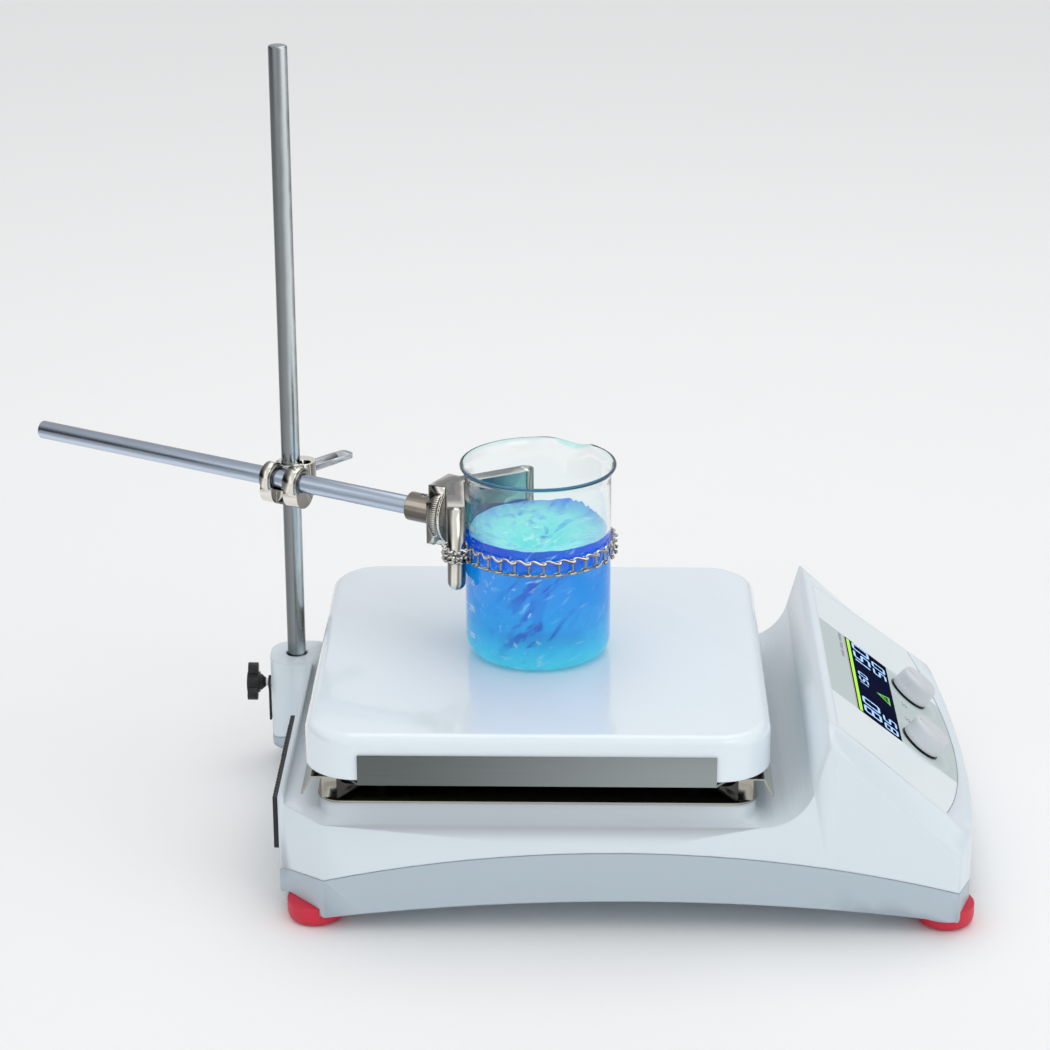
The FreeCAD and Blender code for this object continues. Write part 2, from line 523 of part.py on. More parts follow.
# ---------------------------------------------------------------- drive
def build_drive():
    """Motor, bracket, bearings, fan and the rotating magnet carrier."""
    z0, z1 = MOTOR_Z
    bearings = (z0 + 0.1, z1 - 4.6)
    case = cyl(MOTOR_R, (0, 0, z0), (0, 0, 1), z1 - z0)
    case = case.cut(cyl(MOTOR_R - 2, (0, 0, z0 + 2), (0, 0, 1), z1 - z0 - 4))
    case = case.fuse([cyl(10.5, (0, 0, z0 + 1), (0, 0, 1), 4.2), cyl(10.5, (0, 0, z1 - 5), (0, 0, 1), 4)])
    for k in range(4):
        window = box(13, 27, -7, 7, z0 - 1, z0 + 3)
        window.rotate(Vector(0, 0, 0), Z, 90.0 * k)
        case = case.cut(window)
        a = math.radians(45 + 90 * k)
        case = case.cut(cyl(1.55, (24 * math.cos(a), 24 * math.sin(a), z1 - 2), (0, 0, 1), 5))
    case = case.cut(cyl(8.02, (0, 0, z0 - 1), (0, 0, 1), 40))
    keep('motor_housing', biggest(case))
    stator = tube(MOTOR_R - 2.1, 16, (0, 0, z0 + 6), (0, 0, 1), 14)
    for k in range(9):
        a = 2 * math.pi * k / 9
        stator = stator.cut(cyl(3.2, (22.5 * math.cos(a), 22.5 * math.sin(a), z0), (0, 0, 1), 60))
    keep('motor_stator', stator)
    plate = rounded(54, 38, 6, z1 + 0.1, z1 + 2.1).cut(cyl(12, (0, 0, 50), (0, 0, 1), 20))
    for x, y in MOTOR_BOSSES:
        plate = plate.cut(cyl(1.75, (x, y, 50), (0, 0, 1), 20))
    keep('motor_bracket', join([plate] + [cyl(1.5, (24 * c, 24 * s, z1 - 2), (0, 0, 1), 3.0)
                                          for c, s in DIAGONALS]))
    keep('motor_bearings', *[tube(8.0, 4.05, (0, 0, z), (0, 0, 1), 4.5) for z in bearings])
    keep('motor_shaft', cyl(4.0, (0, 0, FAN_Z), (0, 0, 1), MAGNET_Z + 1.8 - FAN_Z))
    keep('motor_rotor', tube(15.4, 4.0, (0, 0, z0 + 6), (0, 0, 1), 14))
    hub = tube(8, 4.0, (0, 0, FAN_Z), (0, 0, 1), 4.6)
    blades = []
    for k in range(7):
        blade = box(7.5, 24, -0.7, 0.7, FAN_Z, FAN_Z + 4.6)
        blade.rotate(Vector(0, 0, 0), Z, 360.0 / 7 * k)
        blades.append(blade)
    keep('cooling_fan', hub.fuse(blades).removeSplitter())

    carrier = cyl(38, (0, 0, MAGNET_Z), (0, 0, 1), 4.0).fuse(cyl(9, (0, 0, MAGNET_Z - 8), (0, 0, 1), 8.5))
    carrier = carrier.cut(cyl(4.0, (0, 0, 60), (0, 0, 1), MAGNET_Z + 1.9 - 60))
    for s in (1, -1):
        carrier = carrier.cut(cyl(10.05, (s * 22, 0, MAGNET_Z + 1.5), (0, 0, 1), 20))
    keep('magnet_carrier', carrier.removeSplitter())
    keep('drive_magnets', *[cyl(10, (s * 22, 0, MAGNET_Z + 1.6), (0, 0, 1), 6.8) for s in (1, -1)])


DIAGONALS = ((0.7071, 0.7071), (-0.7071, 0.7071), (-0.7071, -0.7071), (0.7071, -0.7071))


def build_electronics():
    """Boards, heat sink, board and bracket screws, and the rear panel's contents."""
    top = BOARD_Z + 1.6
    main = box(-95, 40, 66, 138, BOARD_Z, top)
    for x, y in BOARD_SCREWS:
        main = main.cut(cyl(1.6, (x, y, 20), (0, 0, 1), 20))
    keep('main_board', main)
    low = top + 0.05
    keep('board_components', box(-82, -56, 76, 104, low, top + 15), box(-20, -8, 96, 108, low, top + 12),
         box(2, 14, 96, 108, low, top + 12), box(-48, -30, 76, 92, low, top + 7),
         cyl(8, (26, 90, low), (0, 0, 1), 20), cyl(8, (26, 112, low), (0, 0, 1), 20))
    sink = box(-55, -5, 116, 128, low, low + 3)
    fins = [box(-55 + k * 6, -53.5 + k * 6, 116, 128, low + 2.9, low + 20) for k in range(9)]
    keep('heat_sink', sink.fuse(fins).removeSplitter())
    screws = [screw((x, y, top + 0.05), 1.5, 2.8, 8.0, -1, 1.8) for x, y in BOARD_SCREWS]
    screws += [screw((x, y, MOTOR_Z[1] + 0.05), 1.5, 2.8, 8.0, 1, 1.8) for x, y in MOTOR_BOSSES]
    screws += [on_panel(screw((x, v, PANEL_BOARD - 0.05), 1.5, 2.8, 8.0, 1, 1.8)) for x, v in PANEL_SCREWS]
    keep('board_screws', *screws)
    build_rear_panel()
    build_power_inlet()


INLET_X, FUSE_X, SWITCH_X, INLET_Z = -92.0, -71.0, -58.0, 57.0
INLET_HALF_Z = 10.0
INLET_FROM, INLET_TO = -106.0, -51.5


def build_rear_panel():
    """Black panel in the rear wall, with ribs and an opening for the inlet module."""
    x0, x1, z0, z1 = REAR_PANEL
    panel = box(x0, x1, REAR_Y + 0.1, REAR_Y + 3.1, z0, z1)
    panel = panel.fuse(box(x0 + 4.4, x1 - 4.4, REAR_Y - 5, REAR_Y + 1, z0 + 3.4, z1 - 4.4))
    panel = panel.cut(box(x0 + 6.4, x1 - 6.4, REAR_Y - 6, REAR_Y + 0.6, z0 + 5.4, z1 - 6.4))
    for k in range(8):
        panel = panel.cut(box(x1 - 11 - k * 5, x1 - 8.6 - k * 5, REAR_Y - 1, REAR_Y + 4, z0 + 8, z1 - 8))
    for k in range(27):
        panel = panel.cut(box(x0 + 2.0 + k * 4.3, x0 + 4.2 + k * 4.3, REAR_Y + 1.8, REAR_Y + 4,
                              z1 - 4.5, z1 + 1))
    panel = panel.cut(box(INLET_FROM - 0.2, INLET_TO + 0.2, REAR_Y - 8, REAR_Y + 4,
                          INLET_Z - INLET_HALF_Z - 0.2, INLET_Z + INLET_HALF_Z + 0.2))
    keep('rear_panel', biggest(panel))


def build_power_inlet():
    """Inlet module: mains socket, fuse drawer bay and switch bay in one moulding."""
    y, z, half = REAR_Y, INLET_Z, INLET_HALF_Z
    body = box(INLET_FROM, INLET_TO, y - 22, y + 2.6, z - half, z + half)
    body = body.cut(box(INLET_X - 12.3, INLET_X + 12.3, y - 14, y + 5, z - 8.2, z + 8.2))
    body = body.cut(box(FUSE_X - 4.1, FUSE_X + 4.1, y - 20.5, y + 5, z - 8.6, z + 8.6))
    body = body.cut(box(SWITCH_X - 5.0, SWITCH_X + 5.0, y - 13, y + 5, z - 8.8, z + 8.8))
    body = body.cut(cyl(1.25, (SWITCH_X - 6.0, y - 1, z), (1, 0, 0), 12.0))
    pins = [box(INLET_X + dx - 1.0, INLET_X + dx + 1.0, y - 16, y - 1.5, z + dz - 2, z + dz + 2)
            for dx, dz in ((-7, 2), (0, -2), (7, 2))]
    for pin in pins:
        body = body.cut(pin)
    keep('power_inlet', body)
    keep('inlet_pins', *pins)
    drawer = box(FUSE_X - 3.7, FUSE_X + 3.7, y - 19.8, y + 3.0, z - 8.2, z + 8.2)
    drawer = drawer.fuse(box(FUSE_X - 3.7, FUSE_X + 3.7, y + 2.9, y + 4.2, z - 9.2, z + 9.2))
    bay = box(FUSE_X - 2.7, FUSE_X + 5, y - 18.5, y - 1, z - 7, z - 0.5)
    keep('fuse_drawer', drawer.cut(bay).cut(moved(bay, z=7.5)).removeSplitter())
    keep('fuses', *[cyl(2.5, (FUSE_X, y - 18.3, z + dz), (0, 1, 0), 17) for dz in (-3.75, 3.75)])
    outline = ((2.0, -7.2), (1.0, 0.4), (3.6, 7.2), (-1.5, 6.4), (-5.0, 0.0), (-2.5, -6.4))
    rocker = across([(y + dy, z + dz) for dy, dz in outline], SWITCH_X - 4.7, SWITCH_X + 4.7)
    keep('power_switch', rocker.fuse(cyl(1.2, (SWITCH_X - 5.8, y - 1, z), (1, 0, 0), 11.6)).removeSplitter())


# ---------------------------------------------------------------- feet and case screws
def build_feet():
    """Soft feet, their screws and the case screws."""
    feet, bolts = [], []
    for x, y in FEET:
        foot = revolve([(2.4, 0), (13.5, 0), (16.6, 1.8), (FOOT_R, 5.0), (FOOT_R, FOOT_H), (2.4, FOOT_H)],
                       (x, y, 0))
        feet.append(foot.cut(cyl(5.6, (x, y, -1), (0, 0, 1), 8.0)))
        bolts.append(screw((x, y, 7.0), 2.3, 5.0, 13.0, 1, 2.7))
    keep('feet', *feet)
    keep('foot_screws', *bolts)
    case = []
    for x, y in CASE_SCREWS:
        seat = arch_z(FOOT_ARCH, y) + 5.0
        case.append(screw((x, y, seat), 1.55, 3.2, arch_z(SEAM_ARCH, y) - seat + 12, 1, 2.2))
    keep('case_screws', *case)


# ---------------------------------------------------------------- support rod and arm
def build_rod():
    """Socket sleeve, locking screw with its knob and strap, and the support rod."""
    sleeve = tube(10.0, ROD_R + 0.06, (SOCKET_X, SOCKET_Y, 17.2), (0, 0, 1), SLEEVE_TOP - 17.2)
    floor = cyl(10.0, (SOCKET_X, SOCKET_Y, 17.2), (0, 0, 1), ROD_BOTTOM - 0.1 - 17.2)
    sleeve = sleeve.fuse(floor).cut(cyl(2.55, (SOCKET_X, SOCKET_Y, LOCK_Z), (0, 1, 0), 20))
    keep('rod_socket', sleeve.removeSplitter())
    tip = SOCKET_Y + ROD_R + 0.35
    shank = cyl(2.5, (SOCKET_X, tip, LOCK_Z), (0, 1, 0), LOCK_KNOB_Y[0] + 3.0 - tip)
    keep('lock_screw', shank)
    y0, y1 = LOCK_KNOB_Y
    hub = cyl(7.0, (SOCKET_X, y0, LOCK_Z), (0, 1, 0), y1 - y0)
    lobes = []
    for k in range(3):
        a = math.radians(90 + 120 * k)
        c = (SOCKET_X + 9.4 * math.cos(a), y0 + 0.8, LOCK_Z + 9.4 * math.sin(a))
        lobes.append(cyl(4.4, c, (0, 1, 0), y1 - y0 - 1.6))
        lobes.append(box(-3.6, 3.6, y0 + 0.8, y1 - 0.8, 0, 9.4))
        lobes[-1].rotate(Vector(0, 0, 0), Y, -math.degrees(a) + 90)
        lobes[-1].translate(Vector(SOCKET_X, 0, LOCK_Z))
    cone = revolve([(0, 0), (2.9, 0), (5.4, 3.0), (5.4, 4.2), (0, 4.2)],
                   (SOCKET_X, y0 - 4.0, LOCK_Z), (0, 1, 0))
    star = hub.fuse(lobes + [cone]).cut(cyl(2.5, (SOCKET_X, 170, LOCK_Z), (0, 1, 0), y0 + 3.0 - 170))
    keep('lock_knob', star.removeSplitter())
    ring = tube(4.6, 2.9, (SOCKET_X, SOCKET_BACK + 0.9, LOCK_Z), (0, 1, 0), 1.4)
    tail = box(SOCKET_X - 1.6, SOCKET_X + 1.6, SOCKET_BACK + 0.9, SOCKET_BACK + 2.3, LOCK_Z - 27, LOCK_Z - 3.6)
    anchor = cyl(1.4, (SOCKET_X, SOCKET_BACK + 0.1, LOCK_Z - 24), (0, 1, 0), 2.0)
    keep('knob_strap', ring.fuse([tail, anchor]).removeSplitter())

    rod = cyl(ROD_R, (SOCKET_X, SOCKET_Y, ROD_BOTTOM), (0, 0, 1), ROD_TOP - ROD_BOTTOM)
    rod = rod.makeChamfer(0.8, [e for e in rod.Edges if abs(e.BoundBox.ZMin - e.BoundBox.ZMax) < 1e-6])
    keep('support_rod', rod)


def boss_frame(shape):
    """Place a shape built at the rod crossing: +X along the cross rod, +Y away from it."""
    turn = FreeCAD.Placement(Vector(SOCKET_X, SOCKET_Y, ARM_Z),
                             FreeCAD.Rotation(Z, math.degrees(ARM_ANGLE)))
    return placed(shape, turn.toMatrix())


WING_TURN = 12.8            # the wing screw leans this far toward the beaker
HOOKS = ((-6.7, 9.0), (12.3, 11.0))    # middle and width of the two hooks along the cross rod
LUG = (5.0, 4.6)            # far end of the rounded body behind the support rod
LUG_R = 9.5


def build_boss():
    """Hook connector: two hooks round the cross rod, a slotted lug round the support rod."""
    y = -ROD_OFFSET
    parts = [cyl(LUG_R, (0, 0, -13), (0, 0, 1), 21), cyl(LUG_R, (*LUG, -13), (0, 0, 1), 21)]
    bridge = box(0, math.hypot(*LUG), -LUG_R, LUG_R, -13, 8)
    bridge.rotate(Vector(0, 0, 0), Z, math.degrees(math.atan2(LUG[1], LUG[0])))
    parts.append(bridge)
    for middle, width in HOOKS:
        at = middle - width / 2
        ring = cyl(10.0, (at, y, 0), (1, 0, 0), width)
        ring = ring.makeChamfer(1.6, [e for e in ring.Edges if e.BoundBox.XLength < 1e-6])
        parts += [ring, cyl(9.6, (at, y + 2.0, -8.2), (1, 0, 0), width)]
    parts.append(box(HOOKS[0][0] - 3, HOOKS[1][0] + 4, y - 2, y + 9, -16.8, -7.4))
    parts.append(box(-3, HOOKS[1][0] + 4, y + 2, 2, -13, -2))
    body = join(parts)
    for cut in (cyl(ROD_R + 0.3, (0, 0, -60), (0, 0, 1), 120), cyl(ROD_R + 0.3, (-60, y, 0), (1, 0, 0), 120),
                cyl(4.0, (8.6, 3.4, -60), (0, 0, 1), 120)):
        body = body.cut(cut)
    lean = math.radians(WING_TURN)
    axis = (math.sin(lean), math.cos(lean), 0)
    body = body.cut(cyl(4.05, (0, 0, 0), axis, 60))
    keep('boss_head', boss_frame(biggest(body.removeSplitter())))

    start = (axis[0] * (ROD_R + 0.4), axis[1] * (ROD_R + 0.4), 0)
    wing = box(-5.6, 5.6, 32.0, 52.0, -1.5, 1.5)
    wing = wing.makeFillet(3.5, [e for e in wing.Edges if e.BoundBox.ZLength > 2 and e.BoundBox.YMin > 50])
    wing.rotate(Vector(0, 0, 0), Z, -WING_TURN)
    thread = cyl(4.0, start, axis, 32.5)
    keep('wing_screw', boss_frame(thread.fuse(wing).removeSplitter()))

    keep('cross_rod', on_arm(cyl(ROD_R - 0.02, (ARM_FRONT, 0, ARM_Z), (1, 0, 0), ARM_BACK - ARM_FRONT)))


def build_clamp():
    """Clamp head on the cross rod's end: sleeve, V-block and the chain."""
    c, s = math.cos(V_CONTACT), math.sin(V_CONTACT)
    z0, z1 = V_Z
    outer_d = V_INNER + V_THICK

    def line(distance, along):
        return ((distance - along * c) / s)

    end_in = (30.4, line(V_INNER, 30.4))
    end_out = (end_in[0] + V_THICK * c, end_in[1] + V_THICK * s)
    flat = 61.0
    poly = [(flat, line(outer_d, flat)), end_out, end_in, (V_INNER / c, 0),
            (end_in[0], -end_in[1]), (end_out[0], -end_out[1]), (flat, -line(outer_d, flat))]
    vee = prism(poly, z0, z1)
    posts = []
    for sign in (1, -1):
        px = (end_in[0] + end_out[0]) / 2 - 1.2
        py = sign * ((end_in[1] + end_out[1]) / 2 + 1.9)
        posts.append(cyl(POST_R, (px, py, z0), (0, 0, 1), z1 - z0))
        posts.append(Part.makeSphere(POST_R, Vector(px, py, z0)))
    tail = prism([(flat - 1, 12), (flat - 1, -12), (72, -12), (72, 12)], z0 + 8, z1 - 1.5)
    flange = cyl(19.5, (62.0, 0, ARM_Z + 1.5), (1, 0, 0), 5.0)
    dome = Part.makeSphere(19.5, Vector(60.0, 0, ARM_Z + 1.5)).common(box(60, 74, -30, 30, 150, 250))
    dome = dome.common(cyl(19.5, (60.0, 0, ARM_Z + 1.5), (1, 0, 0), 12))
    plate = box(66.5, 72.0, -15, 15, 186.5, 214.0)
    body = vee.fuse(posts + [tail, flange, dome, plate])
    body = body.cut(cyl(BEAKER_R + 0.3, (0, 0, 100), (0, 0, 1), 200))
    body = body.cut(cyl(ROD_R + 0.02, (ARM_FRONT - 0.1, 0, ARM_Z), (1, 0, 0), 60))
    head = biggest(body.removeSplitter())
    keep('clamp_head', on_arm(head))
    a, b = SLEEVE
    sleeve = tube(SLEEVE_R, ROD_R + 0.02, (a + 0.1, 0, ARM_Z), (1, 0, 0), b - a - 0.1)
    sleeve = sleeve.cut(cyl(2.5, (a + 10, 0, ARM_Z), (0, 0, 1), 20))
    keep('clamp_sleeve', on_arm(sleeve))
    grub = cyl(2.45, (a + 10, 0, ARM_Z + ROD_R + 0.1), (0, 0, 1), 2.6)
    keep('set_screw', on_arm(grub.cut(cyl(1.2, (a + 10, 0, ARM_Z + 7.6), (0, 0, 1), 4))))

    r0, r1 = BEAKER_R + 0.3, BEAKER_R + 3.1
    zc0, zc1 = CHAIN_Z
    band = tube(r1, r0, (0, 0, zc0), (0, 0, 1), zc1 - zc0)
    band = band.cut(prism([(-5, 0), (40, 30.0), (80, 60), (80, -60), (40, -30.0)], 150, 250))
    hooks = []
    for sign in (1, -1):
        px = (end_in[0] + end_out[0]) / 2 - 1.2
        py = sign * ((end_in[1] + end_out[1]) / 2 + 1.9)
        hooks.append(tube(POST_R + 3.0, POST_R + 0.02, (px, py, zc0), (0, 0, 1), zc1 - zc0))
    chain = band.fuse(hooks).cut(cyl(r0, (0, 0, 100), (0, 0, 1), 200))
    chain = chain.cut(head).removeSplitter()
    keep('chain', on_arm(biggest(chain)))


def build_glass():
    """Beaker and the stir bar in it."""
    r, t, z = BEAKER_R, BEAKER_WALL, BEAKER_Z
    outer = [(0, 0.8), (r - 12, 0.6), (r - 9, 0), (r - 6.5, 0.3), (r - 3.4, 1.9), (r - 1.1, 4.6), (r, 9.0),
             (r, BEAKER_H - 9.0), (r + 0.6, BEAKER_H - 4.5), (BEAKER_RIM_R, BEAKER_H - 1.4),
             (BEAKER_RIM_R, BEAKER_H), (r + 0.9, BEAKER_H), (r - 1.4, BEAKER_H - 4.2), (r - t, BEAKER_H - 9.0),
             (r - t, 9.6), (r - t - 1.6, 5.6), (r - t - 5, 3.3), (r - 13, 2.8), (0, 3.0)]
    glass = face([(a, 0, b) for a, b in outer]).revolve(Vector(0, 0, 0), Z, 360)
    keep('beaker', moved(glass, BEAKER_X, BEAKER_Y, z))
    h = STIR_LEN / 2 - STIR_R
    floor = z + 3.0 + 0.3 + STIR_R + 0.5
    bar = cyl(STIR_R, (0, -h, floor), (0, 1, 0), 2 * h)
    ends = [Part.makeSphere(STIR_R, Vector(0, s * h, floor)) for s in (1, -1)]
    ring = tube(STIR_R + 0.5, STIR_R - 0.5, (0, -1.5, floor), (0, 1, 0), 3.0)
    keep('stir_bar', bar.fuse(ends + [ring]).removeSplitter())


def main():
    """Build every node and write one STEP file each."""
    build_housing()
    build_panel()
    build_plate()
    build_drive()
    build_electronics()
    build_feet()
    build_rod()
    build_boss()
    build_clamp()
    build_glass()
    os.makedirs('parts', exist_ok=True)
    for name, shape in NODES.items():
        shape.exportStep(os.path.join('parts', name + '.step'))


main()
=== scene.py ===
"""Magnetic stirrer with a support rod, a chain clamp and a beaker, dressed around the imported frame."""

import json
import logging
import math
from dataclasses import dataclass, field
from enum import Enum

import bmesh
import bpy
from mathutils import Matrix, Vector, noise

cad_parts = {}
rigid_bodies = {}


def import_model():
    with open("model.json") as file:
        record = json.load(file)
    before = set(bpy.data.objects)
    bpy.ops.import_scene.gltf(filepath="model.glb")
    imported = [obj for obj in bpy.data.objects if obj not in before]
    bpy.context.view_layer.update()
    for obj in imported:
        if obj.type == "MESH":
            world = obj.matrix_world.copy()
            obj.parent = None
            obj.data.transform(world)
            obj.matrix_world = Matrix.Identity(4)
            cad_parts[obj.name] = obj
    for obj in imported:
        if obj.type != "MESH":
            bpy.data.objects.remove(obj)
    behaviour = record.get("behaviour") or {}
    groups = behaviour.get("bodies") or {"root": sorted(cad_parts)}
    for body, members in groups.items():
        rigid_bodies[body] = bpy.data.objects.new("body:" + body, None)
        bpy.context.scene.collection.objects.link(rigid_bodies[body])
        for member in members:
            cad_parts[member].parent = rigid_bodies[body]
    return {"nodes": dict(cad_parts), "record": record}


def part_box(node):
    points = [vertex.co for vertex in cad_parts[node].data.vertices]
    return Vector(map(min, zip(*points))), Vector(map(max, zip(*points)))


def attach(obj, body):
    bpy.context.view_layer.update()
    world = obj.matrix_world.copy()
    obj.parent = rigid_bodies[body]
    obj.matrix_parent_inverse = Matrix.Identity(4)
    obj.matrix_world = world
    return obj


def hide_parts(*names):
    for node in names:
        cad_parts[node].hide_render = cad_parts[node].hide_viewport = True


LOG = logging.getLogger("stirrer")
MM = 0.001
Colour = tuple[float, float, float]
Point = tuple[float, float, float]
Stops = tuple[tuple[float, Colour], ...]
Faces = list[tuple[int, ...]]
Outline = list[tuple[float, float]]


def shade(red: int, green: int, blue: int) -> Colour:
    """Linear colour of a display colour given from 0 to 255.

    Args:
        red: Red as it shows.
        green: Green as it shows.
        blue: Blue as it shows.

    Returns:
        The three linear components.
    """
    parts = [c / 255 for c in (red, green, blue)]
    return tuple(c / 12.92 if c < 0.04045 else ((c + 0.055) / 1.055) ** 2.4 for c in parts)


# ------------------------------------------------------------------ shader maths
class Value:
    """A shader socket whose arithmetic adds Math nodes."""

    def __init__(self, graph: "Nodes", socket: bpy.types.NodeSocket) -> None:
        """Wraps one output socket of a graph."""
        self.graph, self.socket = graph, socket

    def _math(self, operation: str, first: object, second: object = 0.0) -> "Value":
        """A Math node on two values."""
        made = self.graph.node("ShaderNodeMath", {"operation": operation}, {0: first, 1: second})
        return Value(self.graph, made.outputs[0])

    def __add__(self, other: object) -> "Value":
        """Sum."""
        return self._math("ADD", self, other)

    __radd__ = __add__

    def __mul__(self, other: object) -> "Value":
        """Product."""
        return self._math("MULTIPLY", self, other)

    __rmul__ = __mul__

    def __sub__(self, other: object) -> "Value":
        """Difference."""
        return self._math("SUBTRACT", self, other)

    def __rsub__(self, other: object) -> "Value":
        """Difference with the value on the right."""
        return self._math("SUBTRACT", other, self)

    def __abs__(self) -> "Value":
        """Size without sign."""
        return self._math("ABSOLUTE", self)

    def __pow__(self, other: object) -> "Value":
        """Power."""
        return self._math("POWER", self, other)

    def angle(self, other: object) -> "Value":
        """Direction of the point whose height is this value and whose reach is the other."""
        return self._math("ARCTAN2", self, other)

    def step(self, low: float, high: float) -> "Value":
        """Smooth rise from 0 at low to 1 at high.

        Args:
            low: Value that gives 0.
            high: Value that gives 1.

        Returns:
            The mask.
        """
        made = self.graph.node("ShaderNodeMapRange", {"interpolation_type": "SMOOTHSTEP"},
                               {"Value": self, "From Min": low, "From Max": high})
        return Value(self.graph, made.outputs[0])


class Nodes:
    """A node tree that gains all of its nodes through one method."""

    def __init__(self, tree: bpy.types.NodeTree) -> None:
        """Takes a tree over and empties it."""
        self.tree = tree
        self.tree.nodes.clear()

    def node(self, kind: str, settings: dict[str, object] | None = None,
             inputs: dict[object, object] | None = None) -> bpy.types.Node:
        """Adds a node, sets it up and feeds its sockets.

        Args:
            kind: The node's type.
            settings: Its attributes, or "stops" for a ramp's places and colours.
            inputs: Numbers, colours, values or sockets by socket name or number.

        Returns:
            The node.
        """
        made = self.tree.nodes.new(kind)
        for key, setting in (settings or {}).items():
            if key == "stops":
                ramp = made.color_ramp
                while len(ramp.elements) < len(setting):
                    ramp.elements.new(0.5)
                for element, (place, colour) in zip(ramp.elements, setting):
                    element.position, element.color = place, (*colour, 1.0)
            else:
                setattr(made, key, setting)
        for key, given in (inputs or {}).items():
            socket = made.inputs[key]
            if isinstance(given, Value):
                self.tree.links.new(given.socket, socket)
            elif isinstance(given, bpy.types.NodeSocket):
                self.tree.links.new(given, socket)
            elif isinstance(given, tuple) and socket.type == "RGBA":
                socket.default_value = (*given[:3], 1.0)
            else:
                socket.default_value = given
        return made


class Graph(Nodes):
    """The shader nodes of one material, or of the room."""

    def __init__(self, owner: bpy.types.Material | bpy.types.World) -> None:
        """Turns nodes on for their owner and starts with none.

        Args:
            owner: The material or the world.
        """
        owner.use_nodes = True
        super().__init__(owner.node_tree)
        self.owner = owner

    def place(self, turn: Point = (0.0, 0.0, 0.0), scale: Point = (1.0, 1.0, 1.0)) -> bpy.types.NodeSocket:
        """Object coordinates, turned and stretched.

        Args:
            turn: Rotation in radians.
            scale: Stretch of each axis.

        Returns:
            The coordinate socket.
        """
        here = self.node("ShaderNodeTexCoord").outputs["Object"]
        return self.node("ShaderNodeMapping", {"vector_type": "TEXTURE"}, {
            "Vector": here, "Rotation": turn, "Scale": tuple(1 / k for k in scale)}).outputs[0]

    def axes(self, place: bpy.types.NodeSocket) -> tuple[Value, Value, Value]:
        """The three parts of a coordinate."""
        made = self.node("ShaderNodeSeparateXYZ", {}, {0: place})
        return tuple(Value(self, made.outputs[k]) for k in range(3))

    def noise(self, place: bpy.types.NodeSocket, scale: float, detail: float = 2.0,
              distortion: float = 0.0) -> Value:
        """Noise from 0 to 1.

        Args:
            place: Coordinates.
            scale: Waves to the metre.
            detail: Finer waves on top.
            distortion: Swirl.

        Returns:
            The noise value.
        """
        made = self.node("ShaderNodeTexNoise", {}, {"Vector": place, "Scale": scale, "Detail": detail,
                                                    "Distortion": distortion})
        return Value(self, made.outputs[0])

    def mix(self, first: object, second: object, share: object) -> bpy.types.NodeSocket:
        """A colour between two colours.

        Args:
            first: Colour at share 0.
            second: Colour at share 1.
            share: Where between them.

        Returns:
            The colour socket.
        """
        made = self.node("ShaderNodeMix", {"data_type": "RGBA"}, {0: share, 6: first, 7: second})
        return made.outputs[2]

    def ramp(self, share: Value, stops: Stops) -> bpy.types.NodeSocket:
        """A colour from a ramp."""
        return self.node("ShaderNodeValToRGB", {"stops": stops}, {0: share}).outputs[0]

    def relief(self, height: Value, strength: float, depth: float,
               edge: float = 0.0) -> bpy.types.NodeSocket:
        """Normal with fine relief, over softened edges.

        Args:
            height: Height from 0 to 1.
            strength: How much of the relief shows.
            depth: Depth of the relief in metres.
            edge: Radius of the softened edges in metres.

        Returns:
            The normal socket.
        """
        inputs = {"Height": height, "Strength": strength, "Distance": depth}
        if edge:
            inputs["Normal"] = self.node("ShaderNodeBevel", {"samples": 6}, {"Radius": edge}).outputs[0]
        return self.node("ShaderNodeBump", {}, inputs).outputs[0]

    def surface(self, **inputs: object) -> bpy.types.Material:
        """Closes the graph with a Principled shader.

        Args:
            **inputs: Its sockets, with _ for the spaces in their names.

        Returns:
            The finished material.
        """
        named = {key.replace("_", " "): given for key, given in inputs.items()}
        shader = self.node("ShaderNodeBsdfPrincipled", {}, named)
        self.node("ShaderNodeOutputMaterial", {}, {"Surface": shader.outputs[0]})
        return self.owner


# ------------------------------------------------------------------ finishes
def lighter(colour: Colour, share: float) -> Colour:
    """The colour made lighter, or darker with a share under 0."""
    return tuple(min(1.0, c * (1 + share)) for c in colour)


@dataclass(frozen=True)
class Finish:
    """A named surface finish and the record's slot that it belongs to."""

    name: str
    slot: str
    tint: Colour
    roughness: float = 0.4

    def paint(self, graph: Graph) -> bpy.types.Material:
        """Builds the finish; each kind has its own way."""
        return graph.surface(Base_Color=self.tint, Roughness=self.roughness)

    def material(self) -> bpy.types.Material:
        """The finish as a material, made once."""
        name = self.name + "_finish"
        return bpy.data.materials.get(name) or self.paint(Graph(bpy.data.materials.new(name)))


@dataclass(frozen=True)
class Moulded(Finish):
    """Moulded plastic, paint or rubber: faint clouding and a fine grain."""

    grain: float = 0.12
    grain_scale: float = 2600.0
    coat: float = 0.0
    edge: float = 0.0
    cloud: float = 0.025

    def paint(self, graph: Graph) -> bpy.types.Material:
        """Clouded colour, uneven gloss and grain.

        Args:
            graph: The material's empty graph.

        Returns:
            The material.
        """
        place = graph.place()
        cloud = graph.noise(place, 14.0, 4.0)
        grain = graph.noise(place, self.grain_scale, 3.0)
        base = graph.mix(lighter(self.tint, -self.cloud), lighter(self.tint, self.cloud), cloud)
        return graph.surface(Base_Color=base, Roughness=cloud * 0.1 + (self.roughness - 0.05),
                             Coat_Weight=self.coat, Coat_Roughness=0.12, IOR=1.5,
                             Normal=graph.relief(grain, self.grain, 0.00004, self.edge))


